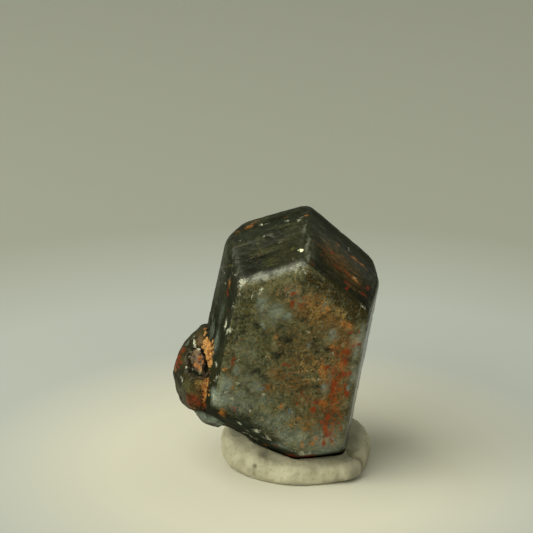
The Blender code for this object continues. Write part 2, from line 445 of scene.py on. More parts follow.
def smoothed(skin, points, share, times):
    """Points drawn towards the middle of their neighbours, each by its own share."""
    ends = np.empty(len(skin.edges) * 2, int)
    skin.edges.foreach_get("vertices", ends)
    first, second = ends.reshape(-1, 2).T
    count = np.bincount(ends, minlength=len(points))[:, None]
    for _ in range(times):
        total = np.zeros_like(points)
        for axis in range(3):
            total[:, axis] = np.bincount(first, points[second, axis], len(points))
            total[:, axis] += np.bincount(second, points[first, axis], len(points))
        points = points + (total / count - points) * share[:, None]
    return points


def cloud(points, scale, octaves=4, seed=0.0):
    """Cloudy noise of about -1 to 1 at each point. A larger scale is finer."""
    shift = Vector((seed, seed * 1.7, -seed))
    places = (Vector(point) * scale + shift for point in points)
    basis = {"noise_basis": "PERLIN_NEW"}
    return np.array([noise.fractal(place, 1.0, 2.0, octaves, **basis) for place in places])


def bell(values, width):
    """1 at 0 and a soft fall to either side of it."""
    return np.exp(-((values / width) ** 2))


def ease(values, low, high):
    """A smooth rise from 0 at low to 1 at high."""
    t = np.clip((values - low) / (high - low), 0, 1)
    return t * t * (3 - 2 * t)


def paint(skin, name, values):
    """Stores a number or a vector at each point, for the material to read."""
    kind, key = ("FLOAT", "value") if values.ndim == 1 else ("FLOAT_VECTOR", "vector")
    layer = skin.attributes.new(name, kind, "POINT")
    layer.data.foreach_set(key, values.astype(np.float32).ravel())


# %% Tell where each point of the crystals is
FRONT_EDGE = 0.12
STEEP_EDGE = 0.25
POCKET_RIM = 0.06


def in_own_frame(points):
    """Points in the large crystal's own frame."""
    return (points - np.array(CRYSTAL_MIDDLE)) @ np.array(CRYSTAL_TURN)


def outside_small(own):
    """How far each point is outside the small crystal's faces, below 0 inside."""
    inner = own - SMALL_MIDDLE
    return np.max([inner @ face.normal - face.out for face in SMALL_FACES], axis=0)


def survey(points):
    """Masks for every point: its face, edges, the small crystal, the pocket and the frosted end."""
    spot = SimpleNamespace(own=in_own_frame(points))
    spot.gaps = np.stack([spot.own @ face.normal - face.out for face in FACES.values()], axis=1)
    ordered = np.sort(spot.gaps, axis=1)
    spot.face = spot.gaps.argmax(axis=1)
    spot.above = ordered[:, -1]
    spot.edge_gap = ordered[:, -1] - ordered[:, -2]
    spot.small_gap = outside_small(spot.own)
    spot.on_small = ease(spot.above, 0.08, 0.22) * ease(-spot.own[:, 0], 3.2, 3.8)
    spot.on_large = 1 - spot.on_small
    spot.front = bell(spot.gaps[:, 0] - spot.above, FRONT_EDGE) * spot.on_large
    steep = [bell(spot.gaps[:, i] - spot.above, STEEP_EDGE) for i in range(2, len(FACES))]
    spot.steep = np.clip(np.sum(steep, axis=0), 0, 1) * spot.on_large
    hollow = (spot.own - POCKET_MIDDLE) @ np.array(pocket_turn)
    spot.pocket = 1 - ease(np.linalg.norm(hollow / (POCKET_SIZE + POCKET_RIM), axis=1), 0.85, 1.02)
    spot.lump = spot.pocket * ease(spot.small_gap, -0.42, -0.25)
    return spot


# %% Make the large crystal's skin, finer where its faces are clear of the small one
LARGE_NET = 0.135


def clear_faces(points):
    """True on the frosted end and the steep faces round it."""
    spot = survey(points)
    clear = (spot.own[:, 1] < -0.4) & (spot.small_gap > 0.6)
    return clear & (spot.own[:, 2] > -6.6)


large_skin = fine_skin(solid_copy("sapphire_crystal"), "sapphire", LARGE_NET, clear_faces)

# %% [markdown]
# ## The small crystal by itself
# The small crystal, its pocket and the crust that joins it to the large one are the busiest
# place, so they get a skin of their own with a finer net. A box is cut out of the solid round
# them. Each of the two skins dips under the other where the other one shows.

# %% Make the small crystal's skin
SMALL_NET = 0.065
SMALL_BOX = (
    ((-4.45, 0, 0), (1, 0, 0)),
    ((0, 0, 1.7), (0, 0, 1)),
    ((0, 0, -5.7), (0, 0, -1)),
    ((0, -2.9, 0), (0, -1, 0)),
    ((0, 3.2, 0), (0, 1, 0)),
)
work = solid_copy("sapphire_crystal")
for point, normal in SMALL_BOX:
    cut = bmesh.ops.bisect_plane(
        work,
        geom=work.verts[:] + work.edges[:] + work.faces[:],
        plane_co=CRYSTAL_TURN @ Vector(point) + CRYSTAL_MIDDLE,
        plane_no=CRYSTAL_TURN @ Vector(normal),
        clear_outer=True,
    )
    rim = [item for item in cut["geom_cut"] if isinstance(item, bmesh.types.BMEdge)]
    bmesh.ops.holes_fill(work, edges=rim, sides=0)
bmesh.ops.triangulate(work, faces=work.faces)
small_skin = fine_skin(work, "side_crystal", SMALL_NET)


# %% [markdown]
# ## Stains
# Iron has stained the crystal red and orange along its cracks, and thin films make some places
# blue-grey, dark or pale. Not every mark is a stain: some dark marks are painted shade, in the
# pocket, in a groove and on the lower left band, and some pale and worn marks and the glint are
# painted highlights and reflections, on edges, ridges and the right face. Each stain is one soft
# dab in the measure of its own face: how far along it and how far up or back in mm, half its
# length and width, its turn in degrees, and its strength. They are laid one by one, as a painter
# would, and noise breaks their outlines. A picture wrapped round the stone would be quicker, but
# it would slide and smear on the steep faces.

# %% List the stains of the flat end, by kind
STAINS = {}
STAINS["front"] = {
    "blue": (
        (-1.83, 4.1, 0.38, 0.7, -2, 0.7), (-0.93, 3.58, 0.64, 0.56, 0, 0.65),
        (-1.82, 2.69, 0.35, 0.13, -53, 0.7), (-3.23, 0.96, 0.52, 0.43, 0, 0.35),
        (-3.43, -0.47, 0.43, 0.2, 81, 0.6), (-4.14, -1.52, 0.45, 0.58, 0, 0.8),
        (-4.47, -2.53, 0.66, 0.57, 0, 0.9), (2.75, 2.06, 0.26, 0.18, -2, 0.8),
        (2.76, 1.63, 0.32, 0.28, 0, 0.6), (1.15, 1.04, 0.42, 0.13, 82, 0.5),
        (-0.16, 3.28, 0.39, 0.35, 0, 0.6), (2.21, 3.98, 0.42, 0.26, 82, 0.4),
        (2.78, 4.38, 0.27, 0.2, -43, 0.5), (4.21, 0.37, 0.36, 0.2, 82, 0.6),
        (4.18, -1.09, 0.5, 0.2, 82, 0.6), (4.69, 2.13, 0.63, 0.23, 80, 0.6),
        (3.87, -2, 0.29, 0.2, 82, 0.6), (2.3, -1.95, 0.43, 0.26, 86, 0.6),
        (2.62, -1.38, 0.43, 0.13, 86, 0.5), (-0.28, -5.47, 0.69, 0.36, -29, 0.8),
        (0.24, -5.11, 0.39, 0.3, -2, 0.6), (-1.8, -2.69, 0.91, 0.44, -2, 0.4),
        (-2.91, -3.02, 1.05, 0.58, -13, 0.5), (3.6, -4.87, 0.44, 0.13, 84, 0.6),
        (0.71, -5.49, 0.59, 0.59, 0, 0.6), (-0.61, -4.93, 0.95, 0.57, -24, 0.5),
        (-2.59, 0.94, 0.64, 1, -2, 0.3), (-1.31, 3.38, 0.77, 0.84, 0, 0.35),
        (-3.56, -3.21, 0.96, 0.48, -39, 0.55), (-1.27, -4.24, 1.1, 0.56, -34, 0.5),
        (-2.32, -1.66, 0.78, 0.58, -2, 0.45), (0.72, -6.18, 0.93, 0.37, -8, 0.4),
        (-3.75, -2.77, 0.79, 0.58, -13, 0.5), (0.58, -5.71, 0.92, 0.44, -2, 0.5),
        (-0.49, -4.05, 0.78, 0.44, 9, 0.5), (1.89, -5.61, 0.79, 0.37, 4, 0.55),
        (-2.84, -1.2, 0.52, 0.58, 0, 0.4), (-3.23, -2.28, 0.65, 0.43, 20, 0.5),
        (-3.95, -3.22, 0.14, 0.28, -34, 0.5), (-3.49, -3.69, 0.21, 0.07, -44, 0.5),
        (-2.7, -4.52, 0.21, 0.07, -42, 0.5), (-4.01, -2.03, 0.52, 0.36, 20, 0.5),
        (-3.04, -3.52, 0.55, 0.21, -34, 0.45), (-1.79, -4.54, 0.69, 0.28, -34, 0.5),
        (0.6, 4.38, 0.51, 0.28, -2, 0.35),
    ),
    "brown": (
        (-0.84, -0.84, 0.52, 0.43, 0, 0.7), (-1.28, -1.83, 0.39, 0.36, 0, 0.7),
        (-0.4, 1.23, 0.39, 0.28, -13, 0.6), (1.23, 0.18, 0.39, 0.36, 0, 0.6),
        (2.22, 3.07, 1.63, 0.94, -38, 0.8), (3.35, 1.11, 1.1, 0.81, 63, 0.8),
        (0.99, 3.67, 0.94, 0.67, -33, 0.7), (2.64, -2.84, 1.45, 0.79, 82, 0.8),
        (0.67, -1.68, 1.04, 0.58, -2, 0.6), (2.55, -5.19, 1.17, 0.67, 82, 0.7),
        (1.35, -4.63, 0.53, 0.59, 0, 0.6), (0.64, 0.7, 1.55, 2, 0, 0.42),
        (2.95, -1.76, 2.46, 0.85, 86, 0.7), (1.62, 4.35, 1.04, 0.62, -13, 0.6),
        (3.39, 2.75, 0.98, 0.65, -53, 0.6), (-0.31, -1.29, 0.91, 0.87, 0, 0.4),
        (0.47, 4.38, 1.15, 0.7, -2, 0.4), (-0.05, 4.96, 0.96, 0.7, -2, 0.35),
        (2.98, -0.1, 0.65, 1.44, -2, 0.4), (1, -2.78, 0.92, 0.73, 0, 0.5),
        (1.78, 2.23, 0.9, 0.85, 0, 0.45), (1.48, -4.27, 0.79, 0.74, 0, 0.45),
    ),
    "dark": (
        (-2.21, 2.63, 0.26, 0.28, 0, 0.7), (-0.85, 0.56, 0.33, 0.28, 0, 0.9),
        (-2.13, -0.58, 0.36, 0.25, 9, 0.95), (-2.91, 3.22, 0.51, 0.56, 0, 0.5),
        (-3.55, 2.94, 0.98, 0.32, 81, 0.5), (-0.21, 1.58, 0.52, 0.35, -13, 0.8),
        (-3.88, 0.84, 0.42, 0.32, 81, 0.5), (-2.78, -1.93, 0.26, 0.29, 0, 0.5),
        (-3.23, 2.31, 0.38, 0.18, 9, 0.5), (0.12, 1, 0.39, 0.43, 0, 0.6),
        (2.38, 0.86, 0.33, 0.24, -13, 0.9), (1.81, 0.59, 0.4, 0.28, -23, 0.6),
        (0.93, -1.91, 0.46, 0.22, 4, 0.8), (1.77, -1.83, 0.33, 0.25, -2, 0.7),
        (0.94, 2.96, 0.26, 0.28, 0, 0.45), (1.79, 1.52, 0.39, 0.28, -2, 0.5),
        (0.52, 0.2, 0.36, 0.2, 82, 0.4), (3.04, 0.48, 0.16, 0.18, 0, 0.4),
        (-3.23, -4.02, 0.63, 0.34, -42, 0.8), (1.33, -2.72, 0.26, 0.22, 0, 0.5),
        (1.85, -2.37, 0.33, 0.22, -2, 0.6), (-3.49, 3.77, 0.51, 1.12, -2, 0.35),
        (0.66, -0.74, 0.32, 0.36, 0, 0.4), (-1.74, -1.1, 0.32, 0.29, 0, 0.5),
        (-4.13, 0.12, 0.32, 0.86, -2, 0.45), (-3.49, -3.87, 0.84, 0.41, -44, 0.7),
        (-0.14, 0.72, 0.52, 0.43, 0, 0.5), (1.8, 1.02, 0.52, 0.36, -2, 0.5),
        (-3.74, 2.38, 2.81, 0.19, 83, 0.5), (-3.75, -3.62, 0.56, 0.27, -49, 0.8),
        (-3.68, -3.9, 0.56, 0.2, -49, 0.7), (-3.49, 3.23, 0.58, 0.7, 0, 0.5),
        (-2.59, 1.3, 0.39, 0.36, 0, 0.4), (-1.75, -0.23, 0.32, 0.29, 0, 0.5),
        (-0.27, 0.72, 0.33, 0.35, 0, 0.45),
    ),
    "ochre": (
        (0.71, 0.05, 0.36, 0.1, 82, 0.8), (0.94, -0.32, 0.21, 0.1, -39, 0.8),
        (1.56, -0.12, 0.19, 0.13, 9, 0.8), (0.77, 0.73, 0.26, 0.11, 4, 0.6),
        (1.44, -1.31, 0.78, 0.1, 0, 0.8), (2.72, 0.06, 0.26, 0.14, -2, 0.5),
        (3.38, 3.17, 0.28, 0.2, -53, 0.7), (0.99, 4.16, 0.66, 0.48, -23, 0.5),
        (1.64, 3.51, 0.95, 0.6, -38, 0.5), (3.05, 3.46, 0.62, 0.4, -43, 0.5),
        (2.7, -6.11, 0.3, 0.11, -2, 0.9), (1.37, 4.01, 1.19, 0.62, -23, 0.45),
        (-0.05, 4.89, 0.83, 0.63, -2, 0.5), (1.3, -0.62, 0.91, 0.14, 1, 0.45),
    ),
    "olive": (
        (-2.59, 3.77, 0.64, 0.98, -2, 0.5), (-1.82, 1.63, 0.9, 0.71, 0, 0.45),
        (-0.01, 1.22, 0.52, 0.43, 0, 0.5),
    ),
    "orange": (
        (-4.13, 0.7, 0.1, 0.09, 0, 0.85), (-4.26, -0.38, 0.14, 0.11, 31, 0.95),
        (-2.59, 0.44, 0.14, 0.1, 81, 0.5), (-3.69, -1.72, 0.11, 0.11, 0, 0.8),
        (-0.85, 1.81, 0.21, 0.1, 77, 0.8), (-1.11, 1.61, 0.12, 0.08, 9, 0.7),
        (-1.36, 0.4, 0.16, 0.11, -2, 0.5), (2.47, 3.55, 0.16, 0.18, 0, 0.5),
        (3.52, 2.53, 0.54, 0.27, -33, 0.7), (4.26, 1.23, 0.21, 0.13, 82, 0.5),
        (2.71, 0.99, 0.19, 0.17, 0, 0.9), (3.25, -0.39, 0.33, 0.29, 0, 0.85),
        (2.15, -0.64, 0.65, 0.26, 86, 0.6), (-0.53, -3.24, 0.19, 0.13, 81, 0.9),
        (-0.95, -3.41, 0.14, 0.1, -2, 0.5), (0.11, -4.55, 0.14, 0.11, -2, 0.7),
        (0.5, -4.16, 0.29, 0.22, 21, 0.6), (2.19, -3.08, 0.26, 0.22, 0, 0.95),
        (2.97, -3.22, 0.43, 0.2, 82, 0.6), (1.7, -5.6, 0.15, 0.12, 0, 0.8),
        (1.5, -5.97, 0.29, 0.2, 82, 0.7), (0.85, -6.06, 0.22, 0.11, 82, 0.7),
        (2.21, 3.63, 0.95, 0.6, -38, 0.25), (1.62, -0.27, 0.78, 0.58, -2, 0.28),
        (0.7, -4.61, 0.79, 0.59, -2, 0.25), (0.66, -0.74, 0.52, 0.14, 9, 0.5),
        (2.42, -5.78, 0.42, 0.21, 63, 0.35), (3.12, -0.32, 0.33, 0.58, -2, 0.35),
    ),
    "pale": (
        (0.91, 6.35, 0.26, 0.17, -12, 0.6), (-1.83, 5.18, 0.34, 0.1, 62, 0.75),
        (-2.47, 4.68, 0.28, 0.08, 86, 0.8), (-3.23, 4.96, 0.24, 0.13, 62, 0.6),
        (-0.82, 1.88, 0.08, 0.07, 0, 0.6), (-1.43, 0.48, 0.19, 0.18, 0, 0.5),
        (-1.81, -0.09, 0.18, 0.09, 81, 0.5), (-2.75, 1.66, 0.1, 0.11, 0, 0.5),
        (-3.43, -1.4, 0.14, 0.08, 15, 0.8), (-3.3, 0.25, 0.08, 0.09, 0, 0.6),
        (-2.33, 0, 0.19, 0.08, 20, 0.5), (-1.44, 2.26, 0.45, 0.08, 9, 0.3),
        (-0.98, 1.96, 0.28, 0.07, -48, 0.3), (-2.91, 2.02, 0.64, 0.09, 9, 0.3),
        (1.7, -1.3, 0.52, 0.07, 0, 0.5), (3.28, 1.69, 0.19, 0.14, -2, 0.5),
        (2.78, 0.52, 0.13, 0.1, 0, 0.9), (1.14, 2.07, 0.1, 0.09, 0, 0.9),
        (-3.23, -2.79, 0.78, 0.37, 9, 0.2), (-2.58, -3.43, 0.1, 0.11, 0, 0.8),
        (-1.74, -2.29, 0.11, 0.09, 0, 0.9), (0.16, -3.74, 0.11, 0.08, 72, 0.6),
        (-1.66, -4.08, 0.65, 0.44, -2, 0.22), (-1.8, -4.23, 0.26, 0.29, 0, 0.3),
        (0.5, -4.53, 0.2, 0.1, -2, 0.7), (0.71, -5.49, 0.4, 0.37, 0, 0.3),
        (-4.27, -2.03, 0.11, 0.07, 42, 0.8), (-3.82, -2.55, 0.1, 0.07, 0, 0.8),
        (-3.49, -1.76, 0.08, 0.07, 0, 0.7), (-2.45, -3.99, 0.1, 0.07, 0, 0.7),
        (-4.14, -2.9, 0.11, 0.07, -44, 0.8),
    ),
    "red": (
        (-3.65, 0.19, 0.46, 0.11, 85, 1), (-3.72, -0.35, 0.14, 0.09, 62, 0.7),
        (-3.56, -0.97, 0.14, 0.08, 9, 0.7), (-0.26, -0.21, 0.26, 0.11, -13, 0.75),
        (-0.45, -1.1, 0.21, 0.13, 81, 0.6), (-0.12, -0.97, 0.14, 0.1, 63, 0.6),
        (0.15, 4.18, 0.28, 0.16, 81, 0.9), (0.63, 4.06, 0.19, 0.17, 0, 1),
        (0.8, 3.78, 0.1, 0.08, 0, 0.6), (0.18, 4.78, 0.23, 0.14, 9, 0.9),
        (0.79, 4.58, 0.13, 0.14, 0, 0.6), (1.72, 4.59, 0.21, 0.1, 82, 0.7),
        (1.24, 4.08, 0.1, 0.08, 0, 0.5), (3.85, 1.92, 0.19, 0.17, 0, 0.8),
        (4.44, 1.93, 0.11, 0.08, 0, 0.8), (4.49, 1.07, 0.13, 0.11, 0, 0.9),
        (4.13, 1.02, 0.19, 0.1, 20, 0.6), (3.72, 0.6, 0.3, 0.21, -13, 0.95),
        (3.57, 0.03, 0.43, 0.26, 82, 0.85), (3.43, 0.54, 0.43, 0.1, 87, 0.8),
        (2.41, -0.47, 0.2, 0.19, 0, 1), (2.54, -0.77, 0.14, 0.1, -44, 0.7),
        (2.87, -0.88, 0.2, 0.22, 0, 0.9), (3.39, -0.97, 0.59, 0.29, -7, 0.8),
        (3.91, -0.85, 0.29, 0.13, 87, 0.9), (2.88, -1.68, 0.43, 0.18, 86, 1),
        (2.82, -2.19, 0.36, 0.17, 86, 1), (3.25, -2.13, 0.1, 0.11, 0, 0.9),
        (3.63, -1.78, 0.14, 0.1, 82, 0.9), (3.68, -2.36, 0.2, 0.22, 0, 1),
        (4.28, 0, 0.13, 0.08, -2, 0.5), (0.53, -0.95, 0.13, 0.09, -2, 0.4),
        (-0.18, -1.36, 0.13, 0.12, 0, 0.4), (0.74, -2.37, 0.23, 0.12, 9, 0.9),
        (-3.72, -3.21, 0.1, 0.1, 0, 0.8), (-3.58, -3.45, 0.13, 0.09, -54, 1),
        (0.48, -2.99, 0.11, 0.11, 0, 0.9), (0.58, -2.37, 0.1, 0.1, 0, 0.6),
        (1.76, -3.03, 0.26, 0.25, 0, 1), (1.54, -3.53, 0.22, 0.21, 0, 0.95),
        (2.63, -2.55, 0.29, 0.13, 82, 0.85), (2.9, -2.7, 0.29, 0.17, 82, 0.8),
        (0.71, -2.34, 0.26, 0.11, 15, 0.8), (2.43, -4.08, 0.29, 0.16, 73, 1),
        (2.17, -4.44, 0.22, 0.11, 82, 0.9), (2.93, -4.39, 0.2, 0.12, 21, 0.9),
        (3.19, -4.55, 0.11, 0.12, 0, 0.7), (2.38, -5.03, 0.52, 0.15, 89, 1),
        (2.68, -5.3, 0.2, 0.15, -2, 0.95), (2.42, -5.55, 0.2, 0.15, 32, 0.9),
        (2.79, -5.83, 0.17, 0.18, 0, 1), (2.3, -6.09, 0.19, 0.13, 82, 0.9),
        (2.97, -6.21, 0.13, 0.12, 0, 0.7), (3.37, -6.24, 0.1, 0.09, 0, 0.6),
        (1.2, -2.64, 0.29, 0.1, 86, 0.5), (3.4, -4.85, 0.22, 0.1, 82, 0.5),
        (3.06, -0.82, 1.58, 0.39, 86, 0.38), (2.61, -4.89, 1.33, 0.4, 89, 0.42),
        (3.62, 0.75, 0.99, 0.33, 82, 0.36), (0.6, 4.38, 0.64, 0.42, -2, 0.38),
        (1.86, -3.25, 0.6, 0.36, 43, 0.4), (2.71, 0.63, 0.52, 0.57, 0, 0.25),
        (2.98, -3.66, 1.16, 0.73, 82, 0.42), (-0.18, 5.17, 0.32, 0.21, -2, 0.4),
        (3.44, 0.03, 0.72, 0.26, 87, 0.6), (3.08, -1.69, 1.08, 0.26, 87, 0.62),
        (2.41, -4.74, 1.33, 0.26, 89, 0.66), (2.71, -3.21, 0.56, 0.34, 63, 0.55),
        (0.89, 1.19, 0.19, 0.14, -2, 0.5), (2.67, -0.52, 0.4, 0.28, 42, 0.6),
        (2.61, -1.31, 0.26, 0.51, -2, 0.55), (3.64, -2.07, 0.12, 0.29, -2, 0.95),
        (3.75, -2.58, 0.16, 0.18, 0, 0.8), (3.1, 0.62, 0.32, 0.43, -2, 0.5),
        (2.12, -3.11, 0.48, 0.28, -34, 0.6), (2.59, -4.01, 0.26, 0.59, -2, 0.5),
        (2.89, -2.26, 0.33, 0.87, -7, 0.6), (2.55, -5.19, 0.33, 0.74, 4, 0.5),
        (-3.62, -3.45, 0.1, 0.09, 0, 0.8),
    ),
    "sky": (
        (-1.93, -1.89, 0.2, 0.11, -2, 0.8), (-2.32, -2.02, 0.16, 0.09, -2, 0.4),
        (0.03, -3.56, 0.16, 0.15, 0, 0.7), (3.68, -4.13, 0.15, 0.09, 82, 0.6),
        (1.23, -5.29, 0.29, 0.16, 82, 0.4), (-0.03, -3.41, 0.2, 0.18, 0, 0.5),
        (-1.8, -1.82, 0.13, 0.09, -2, 0.8), (-3.23, -3.01, 0.2, 0.07, -34, 0.6),
        (-2.25, -4.31, 0.28, 0.07, -39, 0.6),
    ),
    "umber": (
        (2.72, 4.96, 1.09, 0.4, -41, 0.9), (3.96, 3.92, 1.23, 0.46, -43, 1),
        (1.74, 5.51, 0.95, 0.33, -43, 0.75), (3.3, 4.26, 1.23, 0.4, -43, 0.8),
        (2.4, -4.15, 0.87, 0.8, 0, 0.3), (2.52, 4.99, 1.36, 0.4, -41, 0.7),
        (3.83, 3.69, 0.83, 0.39, -48, 0.6), (3.5, 4.05, 0.96, 0.33, -45, 0.8),
        (3.96, 3.01, 0.42, 0.32, -62, 0.7),
    ),
    "worn": (
        (-0.05, 4.96, 0.77, 0.56, -2, 0.3),
    ),
}

# %% List the stains of the faces on the left
STAINS["left"] = {
    "blue": (
        (-0.46, -0.47, 0.67, 0.22, -13, 0.32), (0.31, -1.78, 0.28, 0.17, -5, 0.5),
        (-0.76, -1.74, 0.68, 0.17, -5, 0.3), (3.22, -3.14, 0.35, 0.51, -6, 0.9),
        (0.06, -1.84, 0.82, 0.43, -5, 0.45), (-1.99, -1.6, 0.98, 0.33, -1, 0.4),
        (-0.27, -0.8, 0.69, 0.26, -5, 0.4),
    ),
    "dark": (
        (-3.32, -2.81, 1.23, 0.89, 64, 0.5), (-1.33, -3.09, 1.06, 0.9, 0, 0.5),
        (-2.38, -0.95, 1.27, 0.66, 0, 0.5), (-2.65, -1.2, 1.26, 0.5, -1, 0.5),
        (-0.38, -2.39, 1.5, 0.51, -6, 0.4), (-2.81, -1.51, 1.49, 0.51, -5, 0.5),
    ),
    "olive": (
        (-5.27, -1.5, 1.71, 0.08, 60, 0.6),
    ),
    "orange": (
        (-4.11, -1.82, 0.26, 0.14, -13, 0.8),
    ),
    "pale": (
        (-4.21, -0.44, 0.29, 0.08, 65, 0.6), (-3.82, -1.09, 0.14, 0.2, -5, 0.6),
        (-4.97, -2.25, 0.34, 0.07, 72, 0.5), (-4.53, -1.66, 0.47, 0.11, 40, 0.4),
        (-1.64, -2.53, 0.29, 0.2, 6, 1), (-1.45, -3.16, 0.44, 0.13, 42, 1),
        (1.38, -2.44, 0.14, 0.19, -5, 0.8), (1.99, -2.99, 0.35, 0.13, 50, 0.6),
        (2.38, -2.75, 0.29, 0.07, 62, 0.6), (2.96, -2.7, 0.16, 0.13, 0, 0.6),
        (3.02, -3.1, 0.27, 0.08, 62, 0.6), (-3.16, -3.03, 0.27, 0.18, -6, 0.4),
        (3.58, -3.15, 0.46, 0.23, -19, 0.5),
    ),
    "red": (
        (-3.47, -1.81, 0.16, 0.14, 0, 0.9), (-2.55, -2.68, 0.14, 0.17, 0, 0.4),
    ),
}
STAINS["left_band"] = {
    "pale": (
        (-4.41, 0.04, 2.57, 0.08, 67, 0.5),
    ),
}
STAINS["lower_left"] = {
    "blue": (
        (0.05, -3.06, 0.48, 0.64, 41, 0.5), (2.94, -2.67, 0.6, 1.43, 10, 0.6),
        (-0.41, -3.05, 0.86, 0.47, 37, 0.4), (1.07, -2.76, 0.8, 0.53, 32, 0.4),
    ),
    # Painted shade: these dark marks stand for the shade and dark reflection on this band where it
    # faces down to the pad, over the stone's own dark.
    "dark": (
        (0.3, -3.04, 1.44, 0.79, 44, 0.9), (2.04, -1.63, 1.16, 1.13, 0, 0.8),
        (-0.87, -2.63, 0.44, 1.07, 10, 0.6), (0.88, -2.55, 1.55, 1.44, 0, 0.7),
        (2.48, -1.53, 0.98, 1.46, 10, 0.6), (1.45, -2.02, 1.41, 0.85, 32, 0.85),
        (3.07, -1.45, 0.88, 0.82, 0, 0.85), (4.27, -1.29, 0.61, 0.73, 0, 0.8),
        (-0.21, -2.81, 1.32, 0.6, 44, 0.85), (-0.36, -3.07, 1.07, 0.97, 0, 0.85),
        (0.77, -2.97, 1.09, 0.95, 0, 0.8), (1.87, -2.74, 0.76, 0.89, 0, 0.75),
        (3.15, -2.08, 0.68, 0.67, 0, 0.7), (0.51, -2.79, 1.1, 0.72, 37, 0.7),
        (2.19, -1.8, 0.77, 0.68, 0, 0.7), (-0.61, -3.09, 1.29, 0.98, 44, 0.6),
        (0.56, -3.02, 1.09, 1.07, 0, 0.6), (1.98, -2.81, 0.76, 0.97, 0, 0.5),
    ),
    "orange": (
        (-1.76, -3.04, 0.6, 0.22, 60, 1), (2.77, -0.78, 0.28, 0.18, -89, 0.7),
        (-1.82, -3.07, 0.35, 0.2, -88, 0.8),
    ),
    # Mostly painted highlights: these pale marks are small glints on the dark band.
    "pale": (
        (0.99, -3.02, 0.23, 0.28, 0, 0.8), (1.76, -2.51, 0.15, 0.36, -46, 0.6),
        (1.94, -2.91, 0.18, 0.36, -46, 0.8), (0.99, -1.1, 0.15, 0.37, 10, 0.7),
        (1.5, -1.09, 0.11, 0.33, -47, 0.7), (2.09, -0.78, 0.11, 0.33, -47, 0.6),
        (3.87, -3.07, 0.27, 0.43, 40, 0.5), (-0.32, -2.86, 0.24, 0.13, 41, 0.8),
        (0.72, -2.07, 0.24, 0.14, 37, 0.8), (1.88, -1.3, 0.16, 0.13, 0, 0.7),
        (2.92, -0.96, 0.13, 0.15, 0, 0.7),
    ),
    "red": (
        (2.86, -2.35, 0.4, 0.16, -89, 0.7), (4.37, -1.85, 0.68, 0.26, -81, 1),
    ),
}

# %% List the stains of the faces below and on the right
STAINS["lower_right"] = {
    "blue": (
        (1.71, -2.91, 1.34, 2.02, 10, 0.7),
    ),
    "dark": (
        (2.13, -0.82, 0.96, 1.76, 10, 0.7),
    ),
    "pale": (
        (0.25, -2.81, 0.79, 0.32, 64, 0.7), (0.72, -3.06, 1.19, 0.13, -83, 0.7),
    ),
    "red": (
        (0.69, -1.55, 0.47, 0.99, -1, 1),
    ),
}
STAINS["right"] = {
    "blue": (
        (-5.98, -2.9, 4.04, 0.14, -65, 0.6),
    ),
    # A painted reflection: these light marks stand for the bright sliver that the right face
    # reflects at a grazing angle.
    "worn": (
        (3.7, -2.36, 0.66, 0.57, 0, 0.4), (1.87, -2.96, 0.88, 0.85, 0, 0.6),
        (-0.33, -2.6, 0.9, 0.95, 0, 0.6), (-2.26, -2.39, 0.91, 0.86, 0, 0.55),
        (-4.22, -2.19, 0.77, 0.77, 0, 0.5),
    ),
}

# %% List the stains of the upper faces
STAINS["upper_left"] = {
    "dark": (
        (0.68, -2.12, 1.42, 0.16, 8, 0.8), (0.81, -0.87, 0.9, 0.33, -11, 0.5),
    ),
    # A painted highlight: the glint is a small bright spark of light, not a stain.
    "glint": (
        (-2.72, -2.07, 0.12, 0.07, 30, 1),
    ),
    "ochre": (
        (-0.1, -0.68, 0.13, 0.09, 5, 0.33), (-1.6, -1.58, 0.16, 0.1, 8, 0.41),
        (-1.84, -1.85, 0.16, 0.11, 8, 0.36), (0.43, -1.6, 0.19, 0.09, 10, 0.44),
        (-0.1, -1.58, 0.19, 0.09, 10, 0.44), (0.22, -1.97, 0.11, 0.09, 0, 0.33),
        (-2.19, -2.64, 0.1, 0.09, 0, 0.55), (1.1, -2.06, 0.13, 0.09, 20, 0.22),
    ),
    "olive": (
        (-0.24, -0.34, 0.26, 0.11, 5, 0.9), (0.29, -0.32, 0.26, 0.12, 5, 0.5),
        (0.73, -0.48, 0.39, 0.12, 8, 0.5), (-2.27, -1.73, 0.19, 0.12, 8, 0.6),
        (-1.04, -1.85, 1.41, 0.49, 5, 0.15), (-0.74, -2.28, 0.57, 0.25, 1, 0.5),
        (-0.78, -0.33, 1.03, 0.07, -2, 0.5), (-2.41, -0.24, 0.58, 0.07, -2, 0.5),
        (-0.56, -1.32, 1.15, 0.33, 1, 0.4), (-1.9, -1, 0.64, 0.25, 1, 0.35),
    ),
    "pale": (
        (0.92, -0.08, 0.08, 0.08, 0, 0.6), (-0.58, -0.34, 0.08, 0.08, 0, 0.6),
        (-1.61, -1.1, 0.2, 0.08, 14, 0.4), (0.69, -1.25, 0.1, 0.08, 0, 0.35),
        (1.31, -1.35, 0.1, 0.08, 0, 0.35), (0.73, -1.73, 0.21, 0.07, 37, 0.35),
        (-2.07, -2.45, 0.09, 0.08, 0, 0.5), (-2.67, -1.14, 0.11, 0.08, 20, 0.4),
        (1.37, -3.06, 0.35, 0.32, 0, 1), (0.92, -3.03, 0.32, 0.2, 8, 0.6),
        (-1.83, -3.06, 0.32, 0.15, -5, 0.6), (-2.31, -3.05, 0.25, 0.16, 1, 0.7),
    ),
    # Partly painted highlight: the worn marks along its edges stand for wear and for the soft
    # highlight on the frosted rim.
    "worn": (
        (-3.34, -0.54, 0.11, 0.64, 20, 0.35), (-3.18, -1.75, 0.12, 0.72, 20, 0.4),
        (-3.1, -2.58, 0.14, 0.4, 20, 0.35), (0.16, -3.09, 0.76, 0.28, 5, 0.8),
        (-1.1, -3.07, 0.63, 0.24, -5, 0.8), (-1.98, -3.03, 0.63, 0.24, -8, 0.8),
    ),
}
